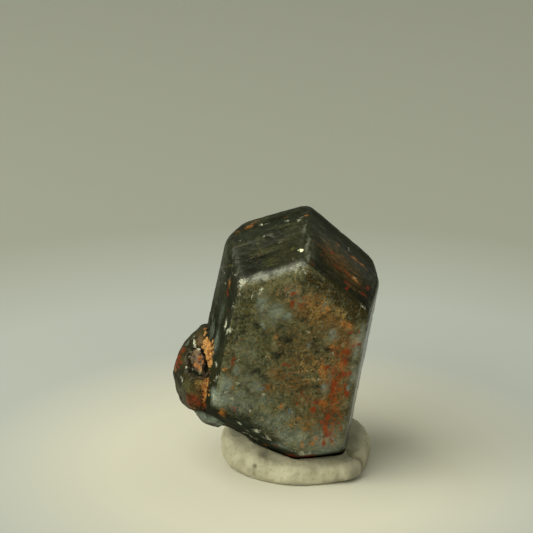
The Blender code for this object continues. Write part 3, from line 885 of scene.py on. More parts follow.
STAINS["upper_left_band"] = {
    # Partly painted shade: the dark band under the strip stands for the shade in the groove there.
    "dark": (
        (0.67, 0.32, 0.94, 0.3, -21, 0.7), (-1.28, 0.27, 1.82, 0.54, 5, 0.65),
        (-2.2, 0.73, 1.04, 0.41, -4, 0.9), (-0.62, 0.38, 0.92, 0.4, -14, 0.85),
        (0.69, 0.09, 0.66, 0.33, -35, 0.7),
    ),
    "olive": (
        (-1.88, 0.2, 1.3, 0.15, 5, 0.8),
    ),
    "orange": (
        (0.17, 1.47, 0.28, 0.19, -27, 0.8), (-0.35, 2, 0.34, 0.15, -21, 0.5),
        (1.01, 1.17, 0.27, 0.3, 0, 0.35), (-2.32, 1.29, 0.1, 0.16, 3, 0.5),
        (-3.64, 0.79, 0.11, 0.16, 35, 0.6),
    ),
    "pale": (
        (-0.69, 1.28, 0.16, 0.16, 0, 0.7), (-1.06, 1.19, 0.1, 0.16, 3, 0.5),
        (-2.33, 0.72, 0.13, 0.16, 0, 0.8), (-3.09, 0.25, 0.13, 0.15, 0, 0.8),
        (-3.23, 0.58, 0.11, 0.13, 0, 0.6),
    ),
}
STAINS["upper_right"] = {
    "brown": (
        (1.65, -1.23, 1.62, 0.84, 3, 0.55), (0.4, -1.8, 0.95, 0.63, 3, 0.5),
    ),
    "dark": (
        (3.72, -0.26, 0.96, 0.52, 0, 0.5), (4.21, -0.02, 0.19, 1.54, 16, 0.5),
    ),
    "olive": (
        (2.73, -0.6, 0.96, 0.63, 0, 0.4),
    ),
    "orange": (
        (2.18, -0.12, 0.2, 0.12, 3, 0.8), (0.56, -0.05, 0.34, 0.15, 3, 1),
        (0.01, -0.04, 0.21, 0.12, 3, 0.9), (-0.45, -0.12, 0.13, 0.11, 0, 0.6),
        (0.23, -1.61, 0.23, 0.14, -14, 1), (2.42, -2.74, 0.54, 0.31, 0, 0.15),
    ),
    "pale": (
        (0.21, -1.54, 0.14, 0.09, -14, 0.6), (-0.87, -2.95, 0.26, 0.13, 42, 0.5),
        (-1.19, -2.95, 0.2, 0.13, 42, 0.5),
    ),
    "red": (
        (2.97, -0.99, 0.14, 0.1, 0, 0.5), (2.7, -0.99, 0.11, 0.1, 0, 0.6),
        (2.38, -1.03, 0.13, 0.13, 0, 1), (2.94, -1.38, 0.14, 0.11, 0, 0.5),
        (3.08, -1.81, 0.11, 0.1, 0, 0.5), (1.51, -0.03, 0.28, 0.09, 0, 0.5),
        (0.96, -0.08, 0.21, 0.11, 0, 0.7), (1.68, -0.8, 0.21, 0.11, 0, 0.5),
        (1.37, -1.26, 0.28, 0.11, 0, 0.6), (1.71, -1.77, 0.35, 0.14, -3, 0.85),
        (2.08, -1.59, 0.14, 0.11, 0, 0.5), (1, -1.58, 0.33, 0.1, 8, 0.7),
        (0.65, -1.73, 0.2, 0.1, 8, 0.75), (0.84, -2.3, 0.21, 0.11, -7, 0.9),
        (0.49, -2.27, 0.14, 0.11, -7, 0.8), (0.6, -2.66, 0.2, 0.1, -20, 1),
        (0.34, -0.76, 0.15, 0.13, 0, 0.5), (-0.35, -1.61, 0.14, 0.1, 0, 0.5),
        (-0.73, -2.15, 0.22, 0.12, -7, 1), (-0.49, -2.08, 0.14, 0.1, -7, 0.7),
        (-0.93, -1.4, 0.13, 0.15, 0, 1), (3.5, -2.92, 0.26, 0.15, 8, 0.45),
    ),
}
STAINS["upper_right_band"] = {
    "dark": (
        (1.26, 0.3, 1.95, 0.78, -1, 0.5),
    ),
    "pale": (
        (1.19, 0.52, 0.34, 0.08, -86, 0.7),
    ),
}
count = sum(len(dabs) for kinds in STAINS.values() for dabs in kinds.values())
print(count, "stains on the large crystal")

# %% List the spots on the small crystal: a place in the crystal's frame, a radius, a strength
SPOTS = {
    "blue": (
        (-6.42, 0.71, -0.29, 0.25, 0.7), (-6.09, 0.5, 0.09, 0.18, 0.5),
        (-5.52, -0.52, -5.26, 0.42, 0.95), (-4.94, -0.81, -5.35, 0.42, 1),
        (-5.89, -0.06, -5.11, 0.28, 0.8), (-4.39, -0.61, -5.77, 0.28, 0.8),
    ),
    "brown": (
        (-5.6, -0.21, 0.2, 0.28, 0.8), (-5.71, 0.21, 0.44, 0.21, 0.4),
        (-6.02, -1.8, -2.87, 0.28, 0.6), (-6.22, -1.8, -2.5, 0.35, 0.5),
    ),
    "crust": (
        (-5.24, 0.35, 0.79, 0.13, 1), (-5.27, 0.04, 0.72, 0.08, 0.8),
        (-5.3, -0.15, 0.56, 0.08, 0.8), (-5.28, -0.45, 0.3, 0.21, 1), (-5.16, -0.69, 0.2, 0.25, 1),
        (-5.36, -0.6, 0.09, 0.21, 0.8), (-4.99, -1.07, 0.15, 0.25, 1),
        (-5.12, -1.09, -0.12, 0.28, 1), (-4.94, -1.39, -0.05, 0.21, 0.9),
        (-5.07, -1.38, -0.34, 0.28, 1), (-5.02, -1.65, -0.58, 0.15, 0.9),
        (-5.03, -1.75, -0.82, 0.08, 0.8), (-5.1, -1.79, -1.08, 0.06, 0.7),
        (-5.12, -1.8, -1.37, 0.06, 0.7), (-5.2, -1.8, -1.73, 0.09, 0.7),
        (-5.3, -1.8, -2.09, 0.18, 0.9), (-5.33, -1.8, -2.53, 0.14, 0.7),
        (-5.08, -2.11, -1.73, 0.07, 0.7), (-5.11, -2.25, -2.02, 0.07, 0.7),
        (-5.13, -2.37, -2.32, 0.07, 0.7), (-5.18, -2.4, -2.6, 0.07, 0.7),
        (-5.38, -1.95, -2.97, 0.13, 0.7), (-5.63, -1.8, -2.23, 0.18, 0.4),
        (-4.86, -1.21, 0.58, 0.11, 0.8), (-4.81, -1.54, 0.38, 0.13, 0.8),
        (-4.85, -1.63, 0.06, 0.11, 0.8), (-4.92, -1.64, -0.29, 0.1, 0.7),
        (-4.99, -1.67, -0.57, 0.08, 0.7),
    ),
    # Painted shade: most of these dark spots darken the pocket's floor and right side, where shade
    # falls. The first three are dark pits in the crust.
    "dark": (
        (-5.1, -1.23, -0.23, 0.08, 0.9), (-4.94, -1.41, -0.08, 0.08, 0.9),
        (-5.21, -0.92, -0.06, 0.07, 0.6), (-6.37, -1, -1.58, 0.18, 0.9),
        (-5.98, -1.12, -1.75, 0.18, 0.9), (-5.54, -1.49, -1.73, 0.14, 0.9),
        (-5.27, -1.26, -1.27, 0.11, 0.8), (-5.19, -1.05, -0.94, 0.11, 0.8),
    ),
    "ochre": (
        (-5.68, -1.66, -1.28, 0.17, 1), (-5.88, -0.44, -0.56, 0.13, 0.6),
        (-5.69, -1.8, -2.01, 0.28, 0.7), (-5.89, -1.8, -2.37, 0.28, 0.6),
        (-6.07, -0.3, -0.69, 0.11, 0.6), (-5.95, -1.8, -2, 0.18, 0.6),
    ),
    "olive": (
        (-6.66, -1.57, -2.38, 0.42, 0.8), (-6.41, -1.79, -2.65, 0.35, 0.7),
        (-6.85, -1.09, -3.06, 0.28, 0.5),
    ),
    "orange": (
        (-7.28, 0.06, -1.93, 0.17, 0.6), (-5.71, -0.84, -0.66, 0.15, 1),
        (-6.04, -0.95, -1.14, 0.17, 0.9), (-5.82, -1.28, -1.13, 0.17, 0.9),
        (-5.53, -1.29, -0.77, 0.11, 0.8), (-5.51, -1.37, -0.99, 0.1, 0.8),
        (-5.43, -1.8, -2.38, 0.25, 0.9), (-5.37, -1.85, -2.8, 0.21, 0.9),
        (-5.47, -1.82, -3.25, 0.21, 0.8), (-5.3, -1.8, -1.87, 0.18, 0.9),
        (-6.29, -1.74, -3.85, 0.11, 0.8), (-6.1, -1.78, -3.91, 0.11, 0.8),
        (-5.71, -1.02, -0.79, 0.08, 1), (-5.53, -1.36, -0.92, 0.08, 1),
        (-5.73, -1.46, -1.16, 0.09, 1), (-5.56, -1.8, -2.23, 0.18, 0.6),
        (-5.82, -1.8, -2.52, 0.18, 0.5), (-5.09, -1.76, -0.88, 0.07, 0.8),
    ),
    # Partly painted highlights: many pale spots are glints on the lump in the pocket and along the
    # small crystal's edges.
    "pale": (
        (-5.98, 0.39, 0.21, 0.08, 0.8), (-5.98, 0.13, 0.12, 0.08, 1),
        (-5.99, -0.03, -0.02, 0.08, 1), (-5.97, -0.2, -0.16, 0.08, 0.8),
        (-5.69, -1.13, -1.72, 0.1, 0.9), (-6.29, -0.11, -0.59, 0.08, 0.9),
        (-6.4, -0.22, -0.9, 0.11, 0.8), (-5.74, -0.37, -0.34, 0.09, 1),
        (-6.57, -0.86, -1.39, 0.08, 0.9), (-6.16, -0.73, -1.57, 0.09, 0.5),
        (-6.9, -0.9, -2.12, 0.11, 0.9), (-6.9, -0.99, -2.26, 0.11, 0.9),
        (-7.01, -0.61, -3.15, 0.11, 0.5), (-6.65, -0.94, -4.03, 0.14, 0.4),
        (-5.68, -1.68, -1.34, 0.06, 0.9), (-5.99, 0.05, 0.05, 0.08, 1),
        (-5.98, -0.09, -0.07, 0.08, 1), (-5.95, -0.19, -0.2, 0.08, 1),
    ),
    "red": (
        (-7.07, 0.23, -1.14, 0.25, 0.75), (-7.21, 0.21, -1.56, 0.25, 0.85),
        (-6.83, 0.31, -0.67, 0.25, 0.8), (-6.64, 1.85, -0.98, 0.25, 0.6),
        (-5.8, -0.89, -0.81, 0.13, 0.9), (-6.22, -1.8, -3.31, 0.35, 0.75),
        (-6.48, -1.73, -3.19, 0.28, 0.8), (-5.9, -1.8, -3.54, 0.35, 0.75),
        (-5.51, -1.85, -3.67, 0.28, 0.6), (-6.54, -1.59, -3.55, 0.25, 0.65),
        (-5.85, -1.11, -1.03, 0.08, 0.8), (-6.35, -1.79, -3.01, 0.25, 0.5),
        (-6.67, -1.64, -2.72, 0.21, 0.4), (-5.3, -1.8, -1.87, 0.08, 0.8),
        (-5.16, -1.8, -1.3, 0.07, 0.8), (-6.96, -0.15, -1.25, 0.18, 0.55),
        (-6.74, 0.06, -0.7, 0.18, 0.45), (-7.06, -0.22, -1.65, 0.15, 0.5),
    ),
    "umber": (
        (-6.42, -1.77, -3.17, 0.28, 0.45), (-5.77, -1.8, -3.69, 0.28, 0.45),
        (-5.45, -2.02, -3.44, 0.21, 0.5),
    ),
}
print(sum(len(spots) for spots in SPOTS.values()), "spots on the small crystal")


# %% Lay the stains
DAB_FALL = 0.7
WOBBLE = 0.11
SEAM_WIDTH = 0.16
SEAM_CRUST = 0.05
SMALL_RIGHT = -4.3


def round_dabs(points, dabs, total):
    """Adds round dabs, each a place, a radius and a strength, to what the points carry."""
    for x, y, z, radius, strength in dabs:
        far = np.sum((points - np.array([x, y, z])) ** 2, axis=1) / radius**2
        total = np.maximum(total, strength * np.exp(-DAB_FALL * far))
    return total


def on_plane(name, run, rise):
    """The place of a dab on a face, and the two directions that it is measured in."""
    face = FACES[name]
    if face.angle is None:
        side = -face.normal[1] * face.out
        return np.array([run, -side, rise]), np.array([1.0, 0, 0]), np.array([0, 0, 1.0])
    flat = np.hypot(face.normal[0], face.normal[2])
    outward = np.array([cos(face.angle), 0, sin(face.angle)])
    along = np.array([-sin(face.angle), 0, cos(face.angle)])
    reach = (face.out - face.normal[1] * rise) / flat
    back = np.array([0, 1.0, 0]) * flat - outward * face.normal[1]
    return outward * reach + along * run + np.array([0, rise, 0]), along, back


def stain(spot, kind):
    """How strongly each point is stained with one kind of stain."""
    total = np.zeros(len(spot.own))
    wobbled = spot.own + spot.wobble
    for name, kinds in STAINS.items():
        for run, rise, length, width, turned, strength in kinds.get(kind, ()):
            middle, first, second = on_plane(name, run, rise)
            along = first * cos(radians(turned)) + second * sin(radians(turned))
            gap = wobbled - middle
            ahead = gap @ along
            aside = np.sum(gap * gap, axis=1) - ahead**2
            far = (ahead / length) ** 2 + aside / width**2
            total = np.maximum(total, strength * np.exp(-DAB_FALL * far) * spot.on_large)
    return round_dabs(wobbled, SPOTS.get(kind, ()), total)


STAIN_KINDS = ("brown", "olive", "blue", "dark", "umber", "worn", "red", "orange", "ochre", "sky")
STAIN_KINDS += ("pale", "glint", "crust")


def lay_stains(spot):
    """All stains of a skin, with their outlines made uneven first."""
    drift = [cloud(spot.own, 1.9, 3, seed) for seed in (51.0, 77.0, 93.0)]
    spot.wobble = np.stack(drift, axis=1) * WOBBLE
    spot.stains = {kind: stain(spot, kind) for kind in STAIN_KINDS}
    left = spot.gaps[:, FACE_NAMES.index("left")]
    seam = bell(spot.small_gap, SEAM_WIDTH) * bell(left, 0.3)
    seam *= (spot.own[:, 1] < 1.5) * (spot.own[:, 0] < SMALL_RIGHT)
    spot.stains["crust"] = np.clip(spot.stains["crust"] + SEAM_CRUST * seam, 0, 1)


# %% [markdown]
# ## Wear, pits and broken places
# The real surface is flat only from a step away. Its edges are rounded and chipped, the flat end
# is etched into a fine frost with small pits, and the small crystal is rough and broken. Moving
# the points along their normals by noise gives all of that, with a different amount for each
# place. A sculpted brush would be freer, but noise by face is repeatable.


# %% Weather a skin: widths and depths are in mm
EDGE_WIDTH = 0.5
CHIP_WIDTH, CHIP_DEPTH = 0.32, 0.10
PIT_DEPTH = 0.10
PALE_DEPTH = 0.05
CRUST_HEIGHT = 0.07


def weathered(skin, spot, points):
    """Moves a skin's points by the relief of each place."""
    worn_edge = bell(spot.edge_gap, EDGE_WIDTH) * 0.5 * spot.on_large
    worn_small = 0.3 * spot.on_small * (1 - spot.pocket)
    points = smoothed(skin, points, np.maximum(worn_edge, worn_small), 6)
    move_to(skin, points)
    outward = normals_of(skin)
    broad, middle = cloud(spot.own, 0.35, 3, 4.0), cloud(spot.own, 1.2, 4, 9.0)
    fine, pits = cloud(spot.own, 4.0, 4, 2.0), cloud(spot.own, 1.9, 3, 31.0)
    chips = np.clip(cloud(spot.own, 1.6, 4, 63.0) - 0.1, 0, 1)
    chips *= bell(spot.edge_gap, CHIP_WIDTH) * spot.on_large
    pitted = PIT_DEPTH * np.clip(pits - 0.35, 0, 1)
    relief = 0.030 * broad + 0.012 * middle + 0.006 * fine - CHIP_DEPTH * chips
    relief += spot.front * (0.014 * middle + 0.012 * fine - pitted)
    relief += spot.on_small * (1 - spot.pocket) * (0.06 * middle + 0.018 * fine)
    relief += spot.pocket * (0.05 * middle + 0.035 * fine)
    relief += spot.lump * (0.10 * middle + 0.05 * fine)
    relief -= PALE_DEPTH * spot.stains["pale"] * spot.on_large
    relief += spot.stains["crust"] * (CRUST_HEIGHT + 0.07 * fine + 0.04 * middle)
    return points + outward * relief[:, None]


# %% Weather both skins and let each dip under the other
GLOSS = {
    "front": 0.10,
    "upper_left": 0.09,
    "upper_left_band": 0.10,
    "upper_right": 0.06,
    "upper_right_band": 0.08,
    "left": 0.02,
    "right": 1.00,
    "right_band": 0.80,
    "right_rear": 0.50,
}
# Where each skin ends it dips under the other one, by so many mm.
SMALL_END = 0.28
SMALL_SINK, LARGE_SINK = 0.30, 0.22
# The growth lines of each face start at another place in the noise.
FACE_SHIFT = 3.7
GLOSS_RIM = 0.4


def dress(skin, is_small):
    """Surveys, stains and weathers a skin, and stores what the material needs."""
    points = points_of(skin)
    spot = survey(points)
    lay_stains(spot)
    points = weathered(skin, spot, points)
    inward = normals_of(skin)
    if is_small:
        sink = SMALL_SINK * ease(spot.small_gap, SMALL_END, 0.6) - 0.015
        flat = np.array([face.normal for face in FACES.values()]) @ np.array(CRYSTAL_TURN).T
        inward = np.where((spot.small_gap > SMALL_END)[:, None], flat[spot.face], inward)
    else:
        near = (spot.own[:, 0] < SMALL_RIGHT) & (spot.own[:, 1] < 3.3)
        near &= abs(spot.own[:, 2] + 1.9) < 3.6
        sink = LARGE_SINK * (1 - ease(spot.small_gap, 0.02, 0.16)) * near
    points = points - inward * sink[:, None]
    move_to(skin, points)
    for kind, values in spot.stains.items():
        paint(skin, kind, values)
    run = np.zeros(len(points))
    for number, face in enumerate(FACES.values()):
        measure = spot.own[:, 0]
        if face.angle is not None:
            measure = spot.own[:, 2] * cos(face.angle) - spot.own[:, 0] * sin(face.angle)
        run = np.where(spot.face == number, measure, run)
    paint(skin, "growth", np.stack([run, spot.own[:, 1], spot.face * FACE_SHIFT], axis=1))
    paint(skin, "rim", bell(spot.edge_gap, EDGE_WIDTH) * spot.on_large)
    paint(skin, "shaded", spot.pocket * (1 - spot.lump))
    shine = np.array([GLOSS.get(name, 0.0) for name in FACE_NAMES])[spot.face] * spot.on_large
    rim = bell(spot.edge_gap, GLOSS_RIM) * spot.on_large * ease(spot.own[:, 2], 2.0, 5.0)
    paint(skin, "gloss", shine + 0.25 * spot.on_small * (1 - spot.pocket) + 0.35 * rim)
    for name in ("front", "steep", "on_small", "lump"):
        paint(skin, name, getattr(spot, name))
    return spot


large_spot = dress(large_skin, is_small=False)
dress(small_skin, is_small=True)
print("frosted share of the large skin:", round(float(large_spot.front.mean()), 3))

# %% [markdown]
# ## Growth lines
# A sapphire's steep faces are covered in fine lines that run round it, because it grew in thin
# layers along its axis. They follow one rule, so Geometry Nodes make them: noise that depends
# only on the depth along the axis, with a slight drift, lifts and lowers the skin. A bump in the
# material would be lighter, but it would be lost on the outline and in the mesh itself.


# %% Small tools for trees
def new_tree(name, inputs):
    """An empty Geometry Nodes tree with named inputs."""
    tree = bpy.data.node_groups.new(name, "GeometryNodeTree")
    tree.interface.new_socket("Geometry", in_out="INPUT", socket_type="NodeSocketGeometry")
    for label, kind in inputs:
        tree.interface.new_socket(label, in_out="INPUT", socket_type=kind)
    tree.interface.new_socket("Geometry", in_out="OUTPUT", socket_type="NodeSocketGeometry")
    return tree


def tree_node(tree, kind, settings, sockets):
    """One node of a tree: its settings first, then its sockets by name or number."""
    made = tree.nodes.new(kind)
    for name, value in settings.items():
        setattr(made, name, value)
    for name, value in sockets.items():
        if isinstance(value, bpy.types.NodeSocket):
            tree.links.new(value, made.inputs[name])
        else:
            made.inputs[name].default_value = value
    return made.outputs


def tree_math(tree, operation, *values):
    """The result of one Math node of a tree."""
    return tree_node(tree, "ShaderNodeMath", {"operation": operation}, dict(enumerate(values)))[0]


def tree_painted(tree, name, kind="FLOAT"):
    """What the mesh carries at each of its points under a name."""
    sockets = {"Name": name}
    return tree_node(tree, "GeometryNodeInputNamedAttribute", {"data_type": kind}, sockets)[0]


def finish_tree(tree, geometry, material):
    """Ends a tree: it makes instances real, sets the material and gives the result."""
    real = tree_node(tree, "GeometryNodeRealizeInstances", {}, {"Geometry": geometry})
    looks = {"Geometry": real[0], "Material": material}
    coloured = tree_node(tree, "GeometryNodeSetMaterial", {}, looks)
    tree.links.new(coloured[0], tree.nodes.new("NodeGroupOutput").inputs[0])


def run_tree(skin, tree, values):
    """The mesh that a tree makes from another one, with its named inputs set."""
    holder = bpy.data.objects.new("holder", skin)
    bpy.context.scene.collection.objects.link(holder)
    modifier = holder.modifiers.new(tree.name, "NODES")
    modifier.node_group = tree
    for item in tree.interface.items_tree:
        if item.in_out == "INPUT" and item.name in values:
            modifier[item.identifier] = values[item.name]
    return applied(holder)


# %% Build the growth lines' tree
LINE_HEIGHT = 0.03
LINES_PER_MM = 3.6
LINE_DRIFT = 0.22
line_inputs = (
    ("Height", "NodeSocketFloat"),
    ("Lines per mm", "NodeSocketFloat"),
    ("Finish", "NodeSocketMaterial"),
)
lines = new_tree("growth lines", line_inputs)
given = lines.nodes.new("NodeGroupInput").outputs
growth = tree_painted(lines, "growth", "FLOAT_VECTOR")
where = tree_painted(lines, "steep")
parts = tree_node(lines, "ShaderNodeSeparateXYZ", {}, {0: growth})
scaled = tree_math(lines, "MULTIPLY", parts["Y"], given["Lines per mm"])
drifted = tree_math(lines, "MULTIPLY_ADD", parts["X"], LINE_DRIFT, scaled)
shifted = tree_math(lines, "ADD", drifted, parts["Z"])
rough_layers = {"W": shifted, "Scale": 1.0, "Detail": 3.0, "Roughness": 0.6}
layers = tree_node(lines, "ShaderNodeTexNoise", {"noise_dimensions": "1D"}, rough_layers)
centred = tree_math(lines, "SUBTRACT", layers[0], 0.5)
lifted = tree_math(lines, "MULTIPLY", centred, given["Height"])
masked = tree_math(lines, "MULTIPLY", lifted, where)
facing = tree_node(lines, "GeometryNodeInputNormal", {}, {})
step_sockets = {0: facing[0], "Scale": masked}
step = tree_node(lines, "ShaderNodeVectorMath", {"operation": "SCALE"}, step_sockets)
moved = {"Geometry": given["Geometry"], "Offset": step[0]}
shaped = tree_node(lines, "GeometryNodeSetPosition", {}, moved)
finish_tree(lines, shaped[0], given["Finish"])

# %% Lift the growth lines
stone = Finish("dark green sapphire")
line_values = {"Height": LINE_HEIGHT, "Lines per mm": LINES_PER_MM, "Finish": stone.material}
large_skin = run_tree(large_skin, lines, line_values)
print("growth lines on", len(large_skin.vertices), "points")

# %% [markdown]
# ## The crystal's finish
# The stone is a green so dark that it is nearly black, and its surface does the rest: the steep
# faces are glassy with streaks along the growth lines, the flat end is frosted and clouded, and
# the rim between them is pale where it is worn, with a painted highlight along its upper left
# edge. One material holds them all, so that no border between finishes looks cut. The painted
# numbers choose, and noise breaks their edges.

# %% The noises of the stone
here = stone.place()
growth_place = stone.painted("growth", "Vector")
on_front = stone.painted("front")
rim = stone.painted("rim")
on_small = stone.painted("on_small")
wide = stone.noise(here, 0.42, 5.0, 0.6, 0.4)
patch = stone.noise(here, 1.3, 6.0, 0.62, 0.6)
mottle = stone.noise(here, 3.6, 7.0, 0.72, 0.5)
speck = stone.noise(here, 8.5, 4.0, 0.6, 0.3)
streak = stone.noise(stone.stretch(growth_place, (0.8, 7.5, 1.0)), 1.0, 5.0, 0.7, 0.25)
thread = stone.noise(stone.stretch(growth_place, (2.0, 17.0, 1.0)), 1.0, 4.0, 0.7)
grit = mottle.rise(0.36, 0.64)
grain = speck.rise(0.34, 0.66)
stone.report("noises")

# %% The steep faces
worn_rim = rim.rise(0.35, 0.95) * mottle.rise(0.44, 0.66)
glassy = stone.coats(
    (0.008, 0.009, 0.005),
    (wide.rise(0.38, 0.62), (0.020, 0.021, 0.009)),
    (streak.rise(0.48, 0.72) * 0.35, (0.046, 0.052, 0.042)),
    (mottle.rise(0.50, 0.68) * 0.35, (0.055, 0.056, 0.030)),
    (thread.rise(0.46, 0.32) * 0.7, (0.004, 0.005, 0.004)),
    (speck.rise(0.62, 0.74) * 0.3, (0.13, 0.12, 0.08)),
    (worn_rim * 0.3, (0.085, 0.090, 0.060)),
)
stone.report("steep faces")

# %% The frosted flat end
wisp = stone.noise(here, 1.1, 5.0, 0.6, 1.5)
wisp = wisp.rise(0.465, 0.50) * wisp.rise(0.535, 0.50) * mottle.rise(0.40, 0.60)
frost = stone.coats(
    (0.030, 0.032, 0.013),
    (patch.rise(0.38, 0.62), (0.092, 0.088, 0.036)),
    (grit * 0.55, (0.125, 0.122, 0.066)),
    (mottle.rise(0.47, 0.34) * 0.6, (0.018, 0.019, 0.007)),
    (speck.rise(0.54, 0.70) * 0.5, (0.22, 0.215, 0.14)),
    (speck.rise(0.43, 0.30) * 0.35, (0.012, 0.013, 0.006)),
    (wisp * 0.45, (0.20, 0.20, 0.13)),
)
colour = stone.blend(on_front.rise(0.15, 0.8), glassy, frost)
stone.report("flat end")

# %% The small crystal and its pocket
olive = stone.coats(
    (0.012, 0.012, 0.006),
    (patch.rise(0.38, 0.62), (0.040, 0.034, 0.013)),
    (mottle.rise(0.54, 0.72) * 0.5, (0.10, 0.08, 0.045)),
)
broken = stone.coats(
    (0.028, 0.021, 0.016),
    (mottle.rise(0.40, 0.68), (0.22, 0.155, 0.11)),
    (speck.rise(0.46, 0.32) * 0.8, (0.02, 0.012, 0.008)),
)
colour = stone.coats(
    colour,
    (on_small, olive),
    (stone.painted("lump").rise(0.3, 0.7), broken),
    # Painted shade inside the pocket, round the lump.
    (stone.painted("shaded") * 0.92, (0.006, 0.005, 0.004)),
)
stone.report("small crystal")

# %% The looks of the stains: two colours, a grain, where they start and are full, and a share
lined = streak.rise(0.38, 0.62) * 0.6 + thread.rise(0.38, 0.62) * 0.4
on_steep = 1.0 - on_front
roughly = (grit * 0.65 + grain * 0.35) * on_front + (lined * 0.75 + grain * 0.25) * on_steep
finely = grain * 0.6 + lined * 0.4
# Dark is partly painted shade; worn and pale are partly painted highlights and reflections, and
# glint is a painted highlight.
STAIN_LOOKS = {
    "brown": ((0.060, 0.032, 0.008), (0.180, 0.092, 0.024), roughly, 0.00, 0.80, 0.75),
    "blue": ((0.105, 0.128, 0.105), (0.275, 0.325, 0.275), 0.8 - roughly * 0.6, 0.05, 0.90, 0.85),
    "olive": ((0.048, 0.046, 0.016), (0.110, 0.104, 0.040), roughly * 0.6 + 0.2, 0.10, 0.80, 0.80),
    "umber": ((0.016, 0.013, 0.004), (0.038, 0.031, 0.010), 0.55 - roughly * 0.1, 0.00, 0.50, 0.95),
    "dark": ((0.007, 0.009, 0.006), (0.024, 0.030, 0.018), 0.75 - roughly * 0.5, 0.00, 0.85, 0.88),
    "ochre": ((0.170, 0.095, 0.024), (0.380, 0.255, 0.090), roughly, 0.20, 0.90, 0.75),
    "worn": ((0.230, 0.238, 0.200), (0.420, 0.430, 0.370), roughly * 0.25 + 0.4, 0.05, 0.95, 0.85),
    "orange": ((0.230, 0.070, 0.013), (0.470, 0.195, 0.050), finely, 0.15, 0.90, 0.82),
    "red": ((0.090, 0.013, 0.004), (0.260, 0.040, 0.009), roughly, 0.15, 1.00, 0.93),
    "sky": ((0.070, 0.110, 0.160), (0.140, 0.210, 0.280), finely, 0.20, 0.90, 0.80),
    "pale": ((0.350, 0.355, 0.280), (0.620, 0.620, 0.500), finely, 0.30, 0.90, 0.90),
    "glint": ((0.900, 0.860, 0.620), (0.900, 0.860, 0.620), finely, 0.10, 0.50, 1.00),
}


def stained(under, kind):
    """Lays one kind of stain over a colour, and gives its mask as well."""
    deep, light, uneven, low, high, share = STAIN_LOOKS[kind]
    there = stone.painted(kind)
    mask = (there + uneven * 0.8 - 0.4).rise(low, high) * there.rise(0.04, 0.22)
    tone = stone.blend(grit * 0.5 + grain * 0.5, deep, light)
    return stone.blend(mask * share, under, tone), mask


# %% The stains that lie deepest, with the dark marks that are partly painted shade
for kind in ("brown", "blue", "olive", "umber", "dark"):
    colour, mask = stained(colour, kind)
stone.report("deep stains")

# %% The fine clouds and dust of the flat end, which stay off the dark stains and painted shade
undarkened = 1.0 - mask
clouded = stone.noise(here, 5.0, 4.0, 0.7, 0.5).rise(0.50, 0.66)
frosty = stone.painted("blue").rise(0.15, 0.6) * clouded
depth = stone.noise(here, 2.1, 6.0, 0.65, 1.0)
dusting = stone.noise(here, 6.2, 4.0, 0.7, 0.3)
dusted = on_front * undarkened
colour = stone.coats(
    colour,
    (frosty * 0.45 * undarkened, (0.33, 0.35, 0.30)),
    (depth.rise(0.48, 0.34) * on_front * 0.5, (0.014, 0.015, 0.006)),
    (depth.rise(0.52, 0.68) * dusted * 0.5, (0.24, 0.225, 0.13)),
    (dusting.rise(0.54, 0.66) * dusted * 0.6, (0.215, 0.112, 0.027)),
    (dusting.rise(0.43, 0.31) * dusted * 0.4, (0.16, 0.20, 0.18)),
)
stone.report("clouds and dust")

# %% The stains of rust and wear, which lie on top, with the painted highlights and reflections among the worn, pale and glint marks
rust = 0.0
for kind in ("ochre", "worn", "orange", "red", "sky", "pale", "glint"):
    colour, mask = stained(colour, kind)
    if kind in ("ochre", "orange", "red"):
        rust = mask + rust
browned = stone.painted("brown").rise(0.15, 0.7) * on_front
flecks = stone.noise(here, 5.5, 3.0, 0.65).rise(0.53, 0.66) * browned
colour = stone.blend(flecks * 0.5, colour, (0.28, 0.090, 0.020))
stone.report("rust and wear")

# %% The ochre crust where the two crystals meet
crusted = stone.painted("crust")
crust = (crusted + grit * 0.6 - 0.3).rise(0.30, 0.55) * crusted.rise(0.05, 0.2)
ochre = stone.coats(
    (0.20, 0.07, 0.018),
    (mottle.rise(0.36, 0.64), (0.50, 0.27, 0.095)),
    (speck.rise(0.44, 0.30) * 0.8, (0.12, 0.03, 0.01)),
)
colour = stone.blend(crust, colour, ochre)
stone.report("crust")

# %% How rough it is, and its finest relief
RIDGE_DEPTH, GRAIN_DEPTH = 0.00002, 0.00004
rough = (0.56 - streak * 0.10) + on_front * (0.08 + (mottle - 0.5) * 0.3)
rough = rough + on_small * 0.05 + crust * 0.4 + rust * 0.08 + stone.painted("worn") * 0.15
ridges = (thread * 0.5 + streak * 0.7) * on_steep
small = stone.bump(ridges, RIDGE_DEPTH, 0.35)
grainy = on_front * 0.5 + on_small * 0.4 + crust * 0.5 + 0.25
small = stone.bump(mottle * 0.8 + speck * 0.4, GRAIN_DEPTH, grainy, small)
shine = stone.painted("gloss") * (0.5 + streak)
sapphire = stone.surface(
    base_color=colour,
    roughness=rough.held(),
    ior=1.45,
    specular_ior_level=0.008,
    coat_weight=shine.held(),
    coat_roughness=0.25,
    coat_ior=1.5,
    normal=small,
)


# %% [markdown]
# ## Finishing a piece
# A finished piece is a plain mesh in metres whose object sits at the origin. It rides on the one
# body there is and stands for its solid, which is hidden.


# %% Hand a finished mesh over
def hand_over(mesh, name, node, material, stands_for=True):
    """Makes the piece, hides the solid that it stands for and hangs it on the one body."""
    mesh.transform(Matrix.Scale(MM, 4))
    mesh.name = name
    mesh.materials.clear()
    mesh.materials.append(material)
    piece = bpy.data.objects.new(name, mesh)
    bpy.context.scene.collection.objects.link(piece)
    if stands_for:
        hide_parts(node)
    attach(piece, "root")
    print(name, "has", sum(len(face.vertices) - 2 for face in mesh.polygons), "triangles")


# %% [markdown]
# ## The putty
# The pad is soft, so it has taken the crystal's shape exactly and kept the marks of the fingers
# that pressed it. Its solid keeps a small gap all round the crystal, because solids may not
# touch. Here the skin near the crystal is drawn onto it, which closes the gap, and then dented.

